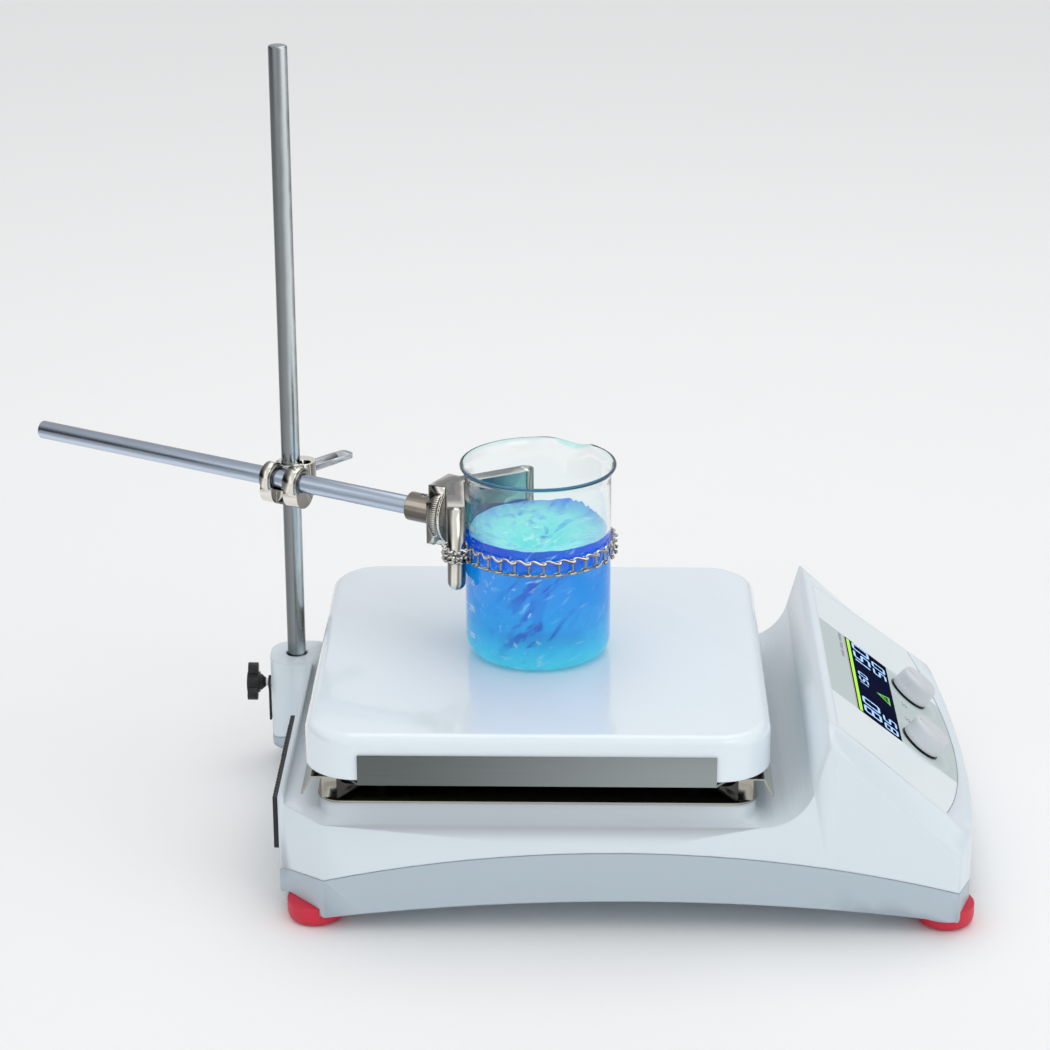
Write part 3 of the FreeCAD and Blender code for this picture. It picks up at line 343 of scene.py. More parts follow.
@dataclass(frozen=True)
class Metal(Finish):
    """Metal with drawn, brushed or ground lines along one direction, and optional painted reflection bands.
    """

    turn: Point = (0.0, 0.0, 0.0)
    stretch: Point = (1.0, 1.0, 1.0)
    lines: float = 0.25
    wobble: float = 0.0
    edge: float = 0.0
    stain: float = 0.08
    # Painted reflections: a grey ramp that the surface takes by how it faces this axis.
    facing: Point = (0.0, 1.0, 0.0)
    reflection_bands: Stops = ()

    def paint(self, graph: Graph) -> bpy.types.Material:
        """Lines in the colour, the gloss and the relief.

        Args:
            graph: The material's empty graph.

        Returns:
            The material.
        """
        drawn = graph.noise(graph.place(self.turn, self.stretch), 900.0, 4.0)
        place = graph.place()
        patch = graph.noise(place, 60.0, 4.0)
        share = drawn * 0.55 + patch * 0.45
        base = graph.mix(lighter(self.tint, -self.stain * 2), lighter(self.tint, self.stain), share)
        # Painted reflections mixed into the base colour.
        if self.reflection_bands:
            base = graph.mix(base, self.painted_reflection(graph, patch), 0.8)
        height = drawn + graph.noise(place, 130.0, 1.0) * (self.wobble * 8)
        return graph.surface(Base_Color=base, Metallic=1.0,
                             Roughness=share * 0.16 + (self.roughness - 0.08),
                             Normal=graph.relief(height, self.lines, 0.00003, self.edge))

    def painted_reflection(self, graph: Graph, patch: Value) -> bpy.types.NodeSocket:
        """Painted reflection bands, lighter and darker by the way that the surface faces.

        Args:
            graph: The material's graph.
            patch: Noise that bends the bands.

        Returns:
            The colour socket.
        """
        normal = graph.node("ShaderNodeNewGeometry").outputs["Normal"]
        dot = graph.node("ShaderNodeVectorMath", {"operation": "DOT_PRODUCT"}, {0: normal, 1: self.facing})
        share = Value(graph, dot.outputs["Value"]) * 0.5 + (patch - 0.5) * 0.12 + 0.5
        return graph.ramp(share, self.reflection_bands)


@dataclass(frozen=True)
class ShadedStripMetal(Metal):
    """Brushed strip with painted shade: darker toward +Y, lighter toward -Y."""

    # Colour of the painted shade at the +Y end.
    far: Colour = (0.1, 0.1, 0.1)
    span: tuple[float, float] = (0.105, -0.105)

    def paint(self, graph: Graph) -> bpy.types.Material:
        """Long brush lines over a painted shade gradient.

        Args:
            graph: The material's empty graph.

        Returns:
            The material.
        """
        drawn = graph.noise(graph.place(self.turn, self.stretch), 900.0, 5.0)
        _, along, _ = graph.axes(graph.place())
        # Painted shade: the colour runs from the far tint at +Y to the tint at -Y.
        share = along.step(*self.span) * 0.85 + drawn * 0.15
        base = graph.mix(self.far, self.tint, share)
        return graph.surface(Base_Color=base, Metallic=0.85,
                             Roughness=drawn * 0.2 + (self.roughness - 0.1),
                             Normal=graph.relief(drawn, self.lines, 0.00003, self.edge))


@dataclass(frozen=True)
class Glazed(Finish):
    """Fired glaze: a clear coat over a faintly uneven body."""

    edge: float = 0.0

    def paint(self, graph: Graph) -> bpy.types.Material:
        """Soft orange peel under a hard coat, with a few faint wipe marks.

        Args:
            graph: The material's empty graph.

        Returns:
            The material.
        """
        place = graph.place()
        peel = graph.noise(place, 260.0, 2.0)
        wipe = graph.noise(graph.place((0.0, 0.0, 0.6), (1.0, 7.0, 1.0)), 9.0, 3.0, 0.6)
        base = graph.mix(lighter(self.tint, -0.02), self.tint, wipe)
        return graph.surface(Base_Color=base, Roughness=wipe.step(0.35, 0.7) * 0.07 + self.roughness,
                             Coat_Weight=0.7, Coat_Roughness=0.06,
                             Normal=graph.relief(peel, 0.05, 0.00006, self.edge))


@dataclass(frozen=True)
class Film(Finish):
    """Printed control film: a tinted band across the middle and faint discs round the knobs."""

    band: Colour = (0.5, 0.5, 0.5)
    half: float = 0.057
    ridge_y: float = -0.172
    knob_x: float = 0.0375
    knob_v: float = 0.081
    disc: float = 0.024

    def paint(self, graph: Graph) -> bpy.types.Material:
        """Band and discs printed under a satin surface.

        Args:
            graph: The material's empty graph.

        Returns:
            The material.
        """
        across, along, _ = graph.axes(graph.place())
        side = abs(across)
        band = 1 - side.step(self.half - 0.0002, self.half + 0.0002)
        down = (along - self.ridge_y) * (-1 / math.cos(Panel.slope)) - self.knob_v
        away = ((side - self.knob_x) ** 2 + abs(down) ** 2) ** 0.5
        disc = 1 - away.step(self.disc - 0.0003, self.disc + 0.0003)
        grain = graph.noise(graph.place(), 3200.0, 2.0)
        base = graph.mix(graph.mix(self.tint, self.band, band), lighter(self.band, 0.16), disc * 0.55)
        return graph.surface(Base_Color=base, Roughness=grain * 0.08 + (self.roughness - 0.04),
                             Normal=graph.relief(grain, 0.08, 0.00002, 0.0003))


@dataclass(frozen=True)
class Screen(Finish):
    """Dark display behind a glossy window, with a painted reflection that makes it a little lighter toward
    its middle.
    """

    half: float = 0.07

    def paint(self, graph: Graph) -> bpy.types.Material:
        """Deep colour with a painted reflection that lightens its middle.

        Args:
            graph: The material's empty graph.

        Returns:
            The material.
        """
        across, _, _ = graph.axes(graph.place())
        # Painted reflection: the window lightens toward its middle.
        share = 1 - abs(across).step(0.0, self.half)
        dust = graph.noise(graph.place(), 900.0, 3.0)
        base = graph.mix(self.tint, lighter(self.tint, 0.8), share)
        return graph.surface(Base_Color=base, Roughness=dust * 0.06 + self.roughness,
                             Specular_IOR_Level=0.0, Normal=graph.relief(dust, 0.02, 0.00002))


@dataclass(frozen=True)
class Glow(Finish):
    """Lit display element."""

    strength: float = 1.0

    def paint(self, graph: Graph) -> bpy.types.Material:
        """Light with a slightly uneven brightness.

        Args:
            graph: The material's empty graph.

        Returns:
            The material.
        """
        uneven = graph.noise(graph.place(), 420.0, 1.0)
        light = graph.mix(lighter(self.tint, -0.12), self.tint, uneven)
        return graph.surface(Base_Color=lighter(self.tint, -0.5), Roughness=self.roughness,
                             Emission_Color=light, Emission_Strength=self.strength)


@dataclass(frozen=True)
class Glass(Finish):
    """Borosilicate glass, a little greener where it is thick."""

    rim: Colour = (0.4, 0.8, 0.75)
    centre: tuple[float, float] = (-0.0025, 0.0014)
    rim_from: float = 0.0465
    foot: tuple[float, float] = (0.1275, 0.131)

    def paint(self, graph: Graph) -> bpy.types.Material:
        """Clear wall with a tinted rim and foot, which also glow faintly as painted light.

        Args:
            graph: The material's empty graph.

        Returns:
            The material.
        """
        across, along, height = graph.axes(graph.place())
        away = ((across - self.centre[0]) ** 2 + (along - self.centre[1]) ** 2) ** 0.5
        bead = away.step(self.rim_from, self.rim_from + 0.0016)
        thick = bead * 0.9 + (1 - height.step(*self.foot)) * 0.5
        ripple = graph.noise(graph.place((0.0, 0.0, 0.0), (1.0, 1.0, 0.3)), 45.0, 1.0)
        # The thick rim and foot get a greener tint, and a faint emission in the rim colour that is painted
        # light.
        return graph.surface(Base_Color=graph.mix(self.tint, self.rim, thick), Roughness=self.roughness,
                             Transmission_Weight=1.0, IOR=1.47, Emission_Strength=0.07,
                             Emission_Color=graph.mix((0.0, 0.0, 0.0), self.rim, thick),
                             Normal=graph.relief(ripple, 0.04, 0.0004))


@dataclass(frozen=True)
class Liquid(Finish):
    """Dyed water in a vortex, with painted light and shade: deep under the surface, paler toward the foot.
    """

    stops: Stops = ()
    streak: Colour = (0.0, 0.05, 0.5)
    bottom: float = 0.129
    top: float = 0.207
    axis: float = 0.0014
    core: tuple[float, float] = (0.008, 0.026)
    clear: float = 0.6
    # Strength of the painted glow: the water emits light in its own colour.
    glow: float = 0.3

    def paint(self, graph: Graph) -> bpy.types.Material:
        """Colour by height as painted light and shade, with slanting swirls that crowd together in the
        middle, painted highlights and a painted glow.

        Args:
            graph: The material's empty graph.

        Returns:
            The material.
        """
        place = graph.place()
        _, across, height = graph.axes(place)
        swirl = graph.noise(graph.place((0.75, 0.0, 0.0), (1.0, 1.0, 0.26)), 74.0, 4.0, 1.2)
        fine = graph.noise(graph.place((0.9, 0.2, 0.0), (1.0, 1.0, 0.2)), 230.0, 4.0, 0.8)
        highlight_noise = graph.noise(graph.place((1.15, 0.0, 0.3), (1.0, 1.0, 0.35)), 130.0, 5.0, 1.6)
        # Painted light and shade: the ramp runs from pale at the foot to deep under the surface.
        level = (height - self.bottom) * (1 / (self.top - self.bottom)) + (swirl - 0.5) * 0.14
        middle = 1 - abs(across - self.axis).step(*self.core)
        dark = swirl.step(0.5, 0.62) * fine.step(0.42, 0.6) * (middle * 0.75 + 0.25)
        # Painted highlights: pale patches mixed toward the tint.
        light = highlight_noise.step(0.56, 0.7) * fine.step(0.4, 0.6) * (middle * 0.5 + 0.5)
        base = graph.mix(graph.ramp(level, self.stops), self.streak, dark * 0.85)
        base = graph.mix(base, self.tint, light * 0.75)
        # The emission is a painted glow of the water's own colour.
        return graph.surface(Base_Color=base, Roughness=self.roughness, Transmission_Weight=self.clear,
                             IOR=1.33, Emission_Color=base, Emission_Strength=self.glow,
                             Normal=graph.relief(swirl + fine * 0.4, 0.35, 0.0012))


def greys(*stops: tuple[float, int], cast: Colour = (1.0, 1.0, 0.98)) -> Stops:
    """Ramp stops of a tinted grey.

    Args:
        *stops: Each stop's place and its display grey.
        cast: Share of the grey in red, green and blue.

    Returns:
        The stops with their colours.
    """
    return tuple((place, shade(*(min(255, int(grey * part)) for part in cast))) for place, grey in stops)


class Palette:
    """Every finish of the stirrer."""

    # Painted reflections: light and dark grey bands that the metals take by the way that they face.
    CHROME_REFLECTIONS = greys((0.0, 140), (0.12, 36), (0.25, 200), (0.36, 48), (0.45, 246), (0.58, 232),
                         (0.67, 248), (0.74, 120), (0.82, 28), (0.9, 60), (1.0, 160),
                         cast=(1.0, 0.99, 0.95))
    ROD_REFLECTIONS = greys((0.0, 84), (0.14, 236), (0.3, 214), (0.48, 140), (0.7, 118), (0.86, 92), (1.0, 40),
                      cast=(0.97, 1.0, 1.01))
    ARM_REFLECTIONS = greys((0.0, 80), (0.2, 220), (0.36, 226), (0.52, 150), (0.76, 206), (1.0, 160),
                      cast=(0.92, 0.98, 1.06))

    SHELL = Moulded("white_enamel", "white_enamel", shade(227, 238, 245), 0.34, 0.10, 2600.0, 0.15, 0.0016)
    BASE = Moulded("base_grey", "base_grey", shade(186, 201, 211), 0.42, 0.16, 2400.0, 0.0, 0.0014)
    FOOT = Moulded("foot_rubber", "foot_rubber", shade(214, 32, 62), 0.5, 0.22, 1800.0, 0.1, 0.0006, 0.08)
    FILM = Film("panel_film", "panel_film", shade(234, 244, 247), 0.32, band=shade(196, 210, 211))
    WINDOW = Screen("display_glass", "display_glass", shade(14, 17, 38), 0.1)
    CELL = Moulded("display_cell", "display_cell", shade(34, 38, 52), 0.4)
    BOARD = Moulded("circuit_board", "circuit_board", shade(24, 92, 58), 0.4, 0.3, 900.0, 0.4, 0.0, 0.2)
    COMPONENT = Moulded("component_black", "component_black", shade(28, 28, 30), 0.45)
    KNOB = Moulded("knob_grey", "knob_grey", shade(212, 217, 222), 0.38, 0.14, 2400.0, 0.1, 0.0005)
    KNOB_RING = Moulded("knob_ring", "knob_ring", shade(46, 49, 54), 0.35)
    SHAFT = Metal("shaft_steel", "shaft_steel", shade(190, 192, 196), 0.25)
    ZINC = Metal("screw_zinc", "screw_zinc", shade(196, 200, 204), 0.3)
    CERAMIC = Glazed("ceramic_white", "ceramic_white", shade(234, 245, 252), 0.16, 0.0008)
    HEATER = Metal("heater_alloy", "heater_alloy", shade(120, 112, 104), 0.4)
    WOOL = Moulded("insulation", "insulation", shade(222, 214, 196), 0.9, 0.8, 700.0, 0.0, 0.0, 0.12)
    SENSOR = Metal("sensor_steel", "sensor_steel", shade(180, 182, 186), 0.3)
    # Near-black tray: painted shade for the dark gap under the top plate, where the steel tray lies in
    # shadow.
    TRAY = Moulded("tray_black", "tray_black", shade(20, 21, 23), 0.38, 0.3, 1800.0)
    # Side strips with painted shade, darker toward +Y.
    STRIP = ShadedStripMetal("strip_steel", "stainless", shade(158, 165, 165), 0.32, (0.0, 0.0, 0.0),
                        (1.0, 0.02, 1.0), 0.3, far=shade(92, 97, 97))
    PAN = Metal("pan_steel", "stainless", shade(178, 175, 164), 0.2, (0.0, 0.0, 0.0), (1.0, 0.05, 1.0),
                0.2, 0.02, 0.0004)
    MOTOR = Metal("motor_steel", "motor_steel", shade(150, 152, 156), 0.35)
    COPPER = Metal("copper", "copper", shade(196, 120, 76), 0.3)
    FAN = Moulded("fan_black", "fan_black", shade(26, 27, 30), 0.45)
    MAGNET = Metal("magnet_nickel", "magnet_nickel", shade(205, 203, 196), 0.18)
    ALLOY = Metal("alloy", "alloy", shade(176, 180, 186), 0.36)
    PANEL = Moulded("panel_black", "panel_black", shade(22, 23, 26), 0.4, 0.3, 1900.0, 0.0, 0.0004)
    BRASS = Metal("contact_brass", "contact_brass", shade(206, 176, 104), 0.25)
    # Rods, arm, clamp, sleeve and chain carry painted reflection bands in their colour.
    ROD = Metal("rod_steel", "rod_steel", shade(176, 184, 190), 0.22, (0.0, 0.0, 0.0), (1.0, 1.0, 0.02),
                0.3, 0.01, 0.0004, 0.1, (0.0, 1.0, 0.0), ROD_REFLECTIONS)
    ARM = Metal("arm_alloy", "arm_alloy", shade(186, 200, 218), 0.24, (0.0, 0.0, 1.0612), (0.02, 1.0, 1.0),
                0.35, 0.02, 0.0004, 0.1, (0.0, 0.0, 1.0), ARM_REFLECTIONS)
    NICKEL = Metal("clamp_nickel", "clamp_nickel", shade(214, 212, 206), 0.12, (0.0, 0.0, 0.0),
                   (1.0, 1.0, 1.0), 0.12, 0.10, 0.0006, 0.06, (0.1, 0.95, 0.3), CHROME_REFLECTIONS)
    SLEEVE = Metal("sleeve_nickel", "clamp_nickel", shade(196, 188, 178), 0.14, (0.0, 0.0, 0.0),
                   (1.0, 1.0, 1.0), 0.12, 0.06, 0.0004, 0.12, (-0.2, 0.1, 0.97),
                   greys((0.0, 40), (0.3, 120), (0.45, 40), (0.62, 66), (0.8, 214), (1.0, 84),
                         cast=(1.0, 0.95, 0.88)))
    CHAIN = Metal("chain_nickel", "clamp_nickel", shade(216, 213, 204), 0.17, (0.0, 0.0, 0.0),
                  (1.0, 1.0, 1.0), 0.1, 0.1, 0.0, 0.12, (0.2, 0.3, 0.93),
                  greys((0.0, 60), (0.3, 150), (0.5, 84), (0.66, 236), (0.8, 240), (1.0, 190)))
    GRIP = Moulded("knob_black", "knob_black", shade(20, 20, 22), 0.42, 0.35, 2000.0, 0.0, 0.0006)
    STRAP = Moulded("strap_black", "strap_black", shade(30, 30, 32), 0.55, 0.5, 1500.0)
    GLASS = Glass("lab_glass", "lab_glass", shade(250, 254, 254), 0.0, rim=shade(176, 226, 222))
    ENAMEL = Moulded("scale_enamel", "lab_glass", shade(236, 242, 248), 0.5, 0.2, 2600.0)
    TEFLON = Moulded("ptfe", "ptfe", shade(240, 241, 240), 0.42, 0.15, 1200.0, 0.1)
    PRINT = Moulded("panel_print", "panel_film", shade(126, 134, 142), 0.45)
    DIGIT = Glow("digit_light", "display_glass", shade(158, 198, 248), 0.4, 0.9)
    LIME = Glow("lime_light", "display_glass", shade(158, 226, 32), 0.4, 0.9)
    GREEN = Glow("green_light", "display_glass", shade(96, 190, 60), 0.4, 0.8)
    PINK = Glow("pink_light", "display_glass", shade(196, 120, 160), 0.4, 0.5)
    # The water finishes paint light and shade into their height ramps, with painted highlights in the tint
    # and a painted glow.
    WATER = Liquid("dyed_water", "lab_glass", shade(196, 236, 255), 0.02, stops=(
        (0.0, shade(84, 220, 240)), (0.15, shade(54, 190, 238)), (0.3, shade(24, 160, 234)),
        (0.78, shade(20, 152, 234)), (0.86, shade(0, 96, 230)), (1.0, shade(0, 78, 220))),
        streak=shade(0, 84, 196), clear=0.45)
    WATER_TOP = Liquid("water_surface", "lab_glass", shade(220, 252, 246), 0.03, stops=(
        (0.0, shade(30, 130, 236)), (0.45, shade(64, 192, 226)), (0.72, shade(104, 230, 212)),
        (0.9, shade(140, 234, 222)), (1.0, shade(90, 150, 236))), streak=shade(40, 150, 214), top=0.2115,
        clear=0.3)
    SWIRL = Liquid("vortex_streak", "lab_glass", shade(190, 236, 255), 0.05, stops=(
        (0.0, shade(160, 224, 250)), (0.4, shade(8, 70, 206)), (0.7, shade(150, 220, 252)),
        (1.0, shade(8, 60, 200))), streak=shade(0, 40, 150), clear=0.1)
    BUBBLE = Moulded("bubble_dark", "lab_glass", shade(14, 30, 74), 0.1, 0.0, 1000.0, 0.5)


# ------------------------------------------------------------------ the frame and its pieces
class Bench:
    """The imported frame, and the ways to turn its nodes into finished pieces."""

    def __init__(self) -> None:
        """Loads the frame and notes each node's body."""
        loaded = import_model()
        self.nodes: dict[str, bpy.types.Object] = loaded["nodes"]
        bodies = loaded["record"]["behaviour"]["bodies"]
        self.body = {node: body for body, members in bodies.items() for node in members}

    def dress(self, finish: Finish, *names: str) -> None:
        """Gives CAD nodes a finish and keeps their shape.

        Args:
            finish: What they are made of.
            *names: The nodes.
        """
        for name in names:
            slots = self.nodes[name].data.materials
            for k in range(len(slots)):
                slots[k] = finish.material()
            if not slots:
                slots.append(finish.material())

    def add(self, name: str, mesh: bpy.types.Mesh, finish: Finish, body: str,
            *stands_for: str) -> bpy.types.Object:
        """Puts a finished mesh on a body.

        Args:
            name: The piece's name.
            mesh: Its mesh, already in place.
            finish: What it is made of.
            body: The body that carries it.
            *stands_for: CAD nodes that it stands for.

        Returns:
            The piece.
        """
        if not mesh.materials:
            mesh.materials.append(finish.material())
        piece = bpy.data.objects.new(name, mesh)
        bpy.context.scene.collection.objects.link(piece)
        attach(piece, body)
        if stands_for:
            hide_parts(*stands_for)
        LOG.info("%s rides on %s, %d faces", name, body, len(mesh.polygons))
        return piece

    def refine(self, node: str, finish: Finish, edge: float = 0.0,
               crease: float = 32.0) -> bpy.types.Object:
        """A smooth-shaded copy of a node with its edges broken, in the node's place.

        Args:
            node: The CAD node.
            finish: What it is made of.
            edge: Width of the broken edges in metres, or 0 to leave them.
            crease: Sharpest angle, in degrees, that still shades smoothly.

        Returns:
            The piece.
        """
        mesh = self.nodes[node].data.copy()
        mesh.materials.clear()
        shape = bmesh.new()
        shape.from_mesh(mesh)
        bmesh.ops.remove_doubles(shape, verts=shape.verts, dist=2e-6)
        if edge:
            bmesh.ops.dissolve_limit(shape, angle_limit=math.radians(0.4), verts=shape.verts,
                                     edges=shape.edges)
            sharp = [e for e in shape.edges if len(e.link_faces) == 2
                     and e.calc_face_angle(0.0) > math.radians(crease)]
            bmesh.ops.bevel(shape, geom=sharp, offset=edge, segments=2, profile=0.5, affect="EDGES",
                            clamp_overlap=True)
        shape.to_mesh(mesh)
        shape.free()
        smooth(mesh, crease)
        mesh.name = node + "_finished"
        return self.add(node + "_finished", mesh, finish, self.body[node], node)


def smooth(mesh: bpy.types.Mesh, crease: float = 32.0) -> bpy.types.Mesh:
    """Shades a mesh smoothly except at its creases.

    Args:
        mesh: The mesh.
        crease: Sharpest smooth angle in degrees.

    Returns:
        The same mesh.
    """
    for face in mesh.polygons:
        face.use_smooth = True
    mesh.set_sharp_from_angle(angle=math.radians(crease))
    return mesh


def mesh_of(name: str, points: list[Point], faces: Faces, crease: float = 32.0) -> bpy.types.Mesh:
    """A mesh from points in millimetres, with its faces turned outward.

    Args:
        name: The mesh's name.
        points: Corners in millimetres.
        faces: Corner numbers of each face.
        crease: Sharpest smooth angle in degrees.

    Returns:
        The mesh, in metres.
    """
    mesh = bpy.data.meshes.new(name)
    mesh.from_pydata([Vector(p) * MM for p in points], [], faces)
    shape = bmesh.new()
    shape.from_mesh(mesh)
    bmesh.ops.remove_doubles(shape, verts=shape.verts, dist=1e-7)
    bmesh.ops.recalc_face_normals(shape, faces=shape.faces)
    shape.to_mesh(mesh)
    shape.free()
    return smooth(mesh, crease)


def wire(points: list[Vector], radius: float, sides: int, start: int = 0) -> tuple[list[Point], Faces]:
    """A round wire along points, with closed ends.

    Args:
        points: The wire's middle line.
        radius: Half its thickness.
        sides: Flats around it.
        start: Number of its first corner in the whole mesh.

    Returns:
        Its corners and its faces.
    """
    corners, faces = [], []
    normal = Vector((0.31, 0.52, 0.79))
    for k, here in enumerate(points):
        ahead = (points[min(k + 1, len(points) - 1)] - points[max(k - 1, 0)]).normalized()
        normal = (normal - ahead * normal.dot(ahead)).normalized()
        side = ahead.cross(normal)
        for j in range(sides):
            turn = 2 * math.pi * j / sides
            corners.append(tuple(here + (normal * math.cos(turn) + side * math.sin(turn)) * radius))
    for k in range(len(points) - 1):
        for j in range(sides):
            a, b = start + k * sides + j, start + k * sides + (j + 1) % sides
            faces.append((a, b, b + sides, a + sides))
    last = start + (len(points) - 1) * sides
    faces.append(tuple(start + j for j in reversed(range(sides))))
    faces.append(tuple(last + j for j in range(sides)))
    return corners, faces


def curved(points: list[Point], steps: int) -> list[Vector]:
    """A smooth line through points.

    Args:
        points: What it passes through.
        steps: Pieces between neighbours.

    Returns:
        The line's points.
    """
    held = [Vector(p) for p in points]
    held = [held[0] * 2 - held[1], *held, held[-1] * 2 - held[-2]]
    line = []
    for a, b, c, d in zip(held, held[1:], held[2:], held[3:]):
        for k in range(steps):
            t = k / steps
            line.append(0.5 * (2 * b + (c - a) * t + (2 * a - 5 * b + 4 * c - d) * t * t
                               + (3 * b - a - 3 * c + d) * t ** 3))
    return line + [held[-2]]


# ------------------------------------------------------------------ repeats
class Layout(Enum):
    """How a repeated piece is laid out."""

    LINE = "line"
    PATH = "path"


class Repeat(Nodes):
    """A Geometry Nodes tree that lays out copies of one small mesh."""

    def __init__(self, name: str, layout: Layout) -> None:
        """Builds the tree with its named inputs.

        Args:
            name: The tree's name.
            layout: Line or path.
        """
        super().__init__(bpy.data.node_groups.new(name, "GeometryNodeTree"))
        self.sockets: dict[str, str] = {}
        face = self.tree.interface
        face.new_socket("Geometry", in_out="OUTPUT", socket_type="NodeSocketGeometry")
        face.new_socket("Path", in_out="INPUT", socket_type="NodeSocketGeometry")
        kinds = {"Piece": "NodeSocketObject", "Count": "NodeSocketInt", "Pitch": "NodeSocketFloat",
                 "Start": "NodeSocketVector", "Step": "NodeSocketVector", "Finish": "NodeSocketMaterial"}
        for label, kind in kinds.items():
            made = face.new_socket(label, in_out="INPUT", socket_type=kind)
            self.sockets[label] = made.identifier
        self.given = self.node("NodeGroupInput").outputs
        source = self.node("GeometryNodeObjectInfo", {"transform_space": "ORIGINAL"},
                           {"Object": self.given["Piece"]})
        places = self._line() if layout is Layout.LINE else self._path()
        places["Instance"] = source.outputs["Geometry"]
        copies = self.node("GeometryNodeInstanceOnPoints", {}, places)
        real = self.node("GeometryNodeRealizeInstances", {}, {"Geometry": copies.outputs[0]})
        painted = self.node("GeometryNodeSetMaterial", {}, {"Geometry": real.outputs[0],
                                                            "Material": self.given["Finish"]})
        self.node("NodeGroupOutput", {}, {"Geometry": painted.outputs[0]})

    def _line(self) -> dict[str, bpy.types.NodeSocket]:
        """Evenly stepped points, with the copies left unturned.

        Returns:
            The points' socket by the name that it feeds.
        """
        line = self.node("GeometryNodeMeshLine", {"mode": "OFFSET"}, {
            "Count": self.given["Count"], "Start Location": self.given["Start"],
            "Offset": self.given["Step"]})
        return {"Points": line.outputs[0]}

    def _path(self) -> dict[str, bpy.types.NodeSocket]:
        """Even points along the path, with the copies turned along it.

        Returns:
            The points' and the rotation's sockets by the names that they feed.
        """
        even = self.node("GeometryNodeResampleCurve", {"mode": "LENGTH"}, {
            "Curve": self.given["Path"], "Length": self.given["Pitch"]})
        ahead = self.node("GeometryNodeInputTangent")
        facing = self.node("FunctionNodeAxesToRotation", {"primary_axis": "X", "secondary_axis": "Z"}, {
            "Primary Axis": ahead.outputs[0], "Secondary Axis": (0.0, 0.0, 1.0)})
        return {"Points": even.outputs[0], "Rotation": facing.outputs[0]}

    def make(self, name: str, piece: bpy.types.Mesh, finish: Finish, path: list[Vector] | None = None,
             **values: object) -> bpy.types.Mesh:
        """The repeated piece as one plain mesh.

        Args:
            name: The mesh's name.
            piece: The small mesh.
            finish: What it is made of.
            path: Points of the path in millimetres, for a path layout.
            **values: The tree's other inputs, such as Count or Step.

        Returns:
            The finished mesh.
        """
        scene = bpy.context.scene.collection.objects
        small = bpy.data.objects.new(name + "_unit", piece)
        if path is None:
            host = bpy.data.objects.new(name + "_host", bpy.data.meshes.new(name + "_host"))
        else:
            line = bpy.data.curves.new(name + "_path", "CURVE")
            line.dimensions = "3D"
            spline = line.splines.new("POLY")
            spline.points.add(len(path) - 1)
            for point, place in zip(spline.points, path):
                point.co = (*(place * MM), 1.0)
            host = bpy.data.objects.new(name + "_host", line)
        scene.link(small)
        scene.link(host)
        modifier = host.modifiers.new("repeat", "NODES")
        modifier.node_group = self.tree
        modifier[self.sockets["Piece"]] = small
        modifier[self.sockets["Finish"]] = finish.material()
        for key, given in values.items():
            modifier[self.sockets[key]] = given
        bpy.context.view_layer.update()
        evaluated = host.evaluated_get(bpy.context.evaluated_depsgraph_get())
        mesh = bpy.data.meshes.new_from_object(evaluated)
        mesh.name = name
        host.modifiers.clear()
        bpy.data.objects.remove(host)
        bpy.data.objects.remove(small)
        return smooth(mesh)


# ------------------------------------------------------------------ sub-assemblies
@dataclass
class Housing:
    """Two-part shell on four soft feet."""

    bench: Bench

    def build(self) -> None:
        """Dresses the shells, the feet and the screws under them."""
        self.bench.refine("upper_housing", Palette.SHELL)
        self.bench.refine("lower_housing", Palette.BASE)
        self.bench.refine("feet", Palette.FOOT, 0.8 * MM)
        self.bench.dress(Palette.ZINC, "foot_screws", "case_screws")


@dataclass
class HotPlate:
    """Glazed top on its pan, with the heater and its fixings below."""

    bench: Bench

    def build(self) -> None:
        """Dresses everything from the glazed top down to the tray."""
        self.bench.refine("top_plate", Palette.CERAMIC)
        self.bench.refine("side_strips", Palette.STRIP, 0.25 * MM)
        self.bench.refine("drip_pan", Palette.PAN)
        self.bench.refine("heater_tray", Palette.TRAY)
        self.bench.dress(Palette.HEATER, "heating_element")
        self.bench.dress(Palette.WOOL, "insulation_pad")
        self.bench.dress(Palette.SENSOR, "temperature_sensor")
        self.bench.dress(Palette.ZINC, "plate_screws", "standoffs", "standoff_screws")


@dataclass
class Drive:
    """Motor, fan and magnet carrier."""

    bench: Bench

    def build(self) -> None:
        """Dresses the drive's parts."""
        self.bench.dress(Palette.MOTOR, "motor_housing", "motor_bracket", "motor_bearings")
        self.bench.dress(Palette.COPPER, "motor_stator")
        self.bench.dress(Palette.SHAFT, "motor_shaft", "motor_rotor")
        self.bench.dress(Palette.FAN, "cooling_fan")
        self.bench.dress(Palette.ALLOY, "magnet_carrier")
        self.bench.dress(Palette.MAGNET, "drive_magnets")


@dataclass
class Electronics:
    """Main board with its parts, heat sink and screws."""

    bench: Bench

    def build(self) -> None:
        """Dresses the electronics."""
        self.bench.dress(Palette.BOARD, "main_board", "display_board")
        self.bench.dress(Palette.COMPONENT, "board_components", "encoder_bodies")
        self.bench.dress(Palette.ALLOY, "heat_sink")
        self.bench.dress(Palette.ZINC, "board_screws")
        self.bench.dress(Palette.CELL, "display_module")


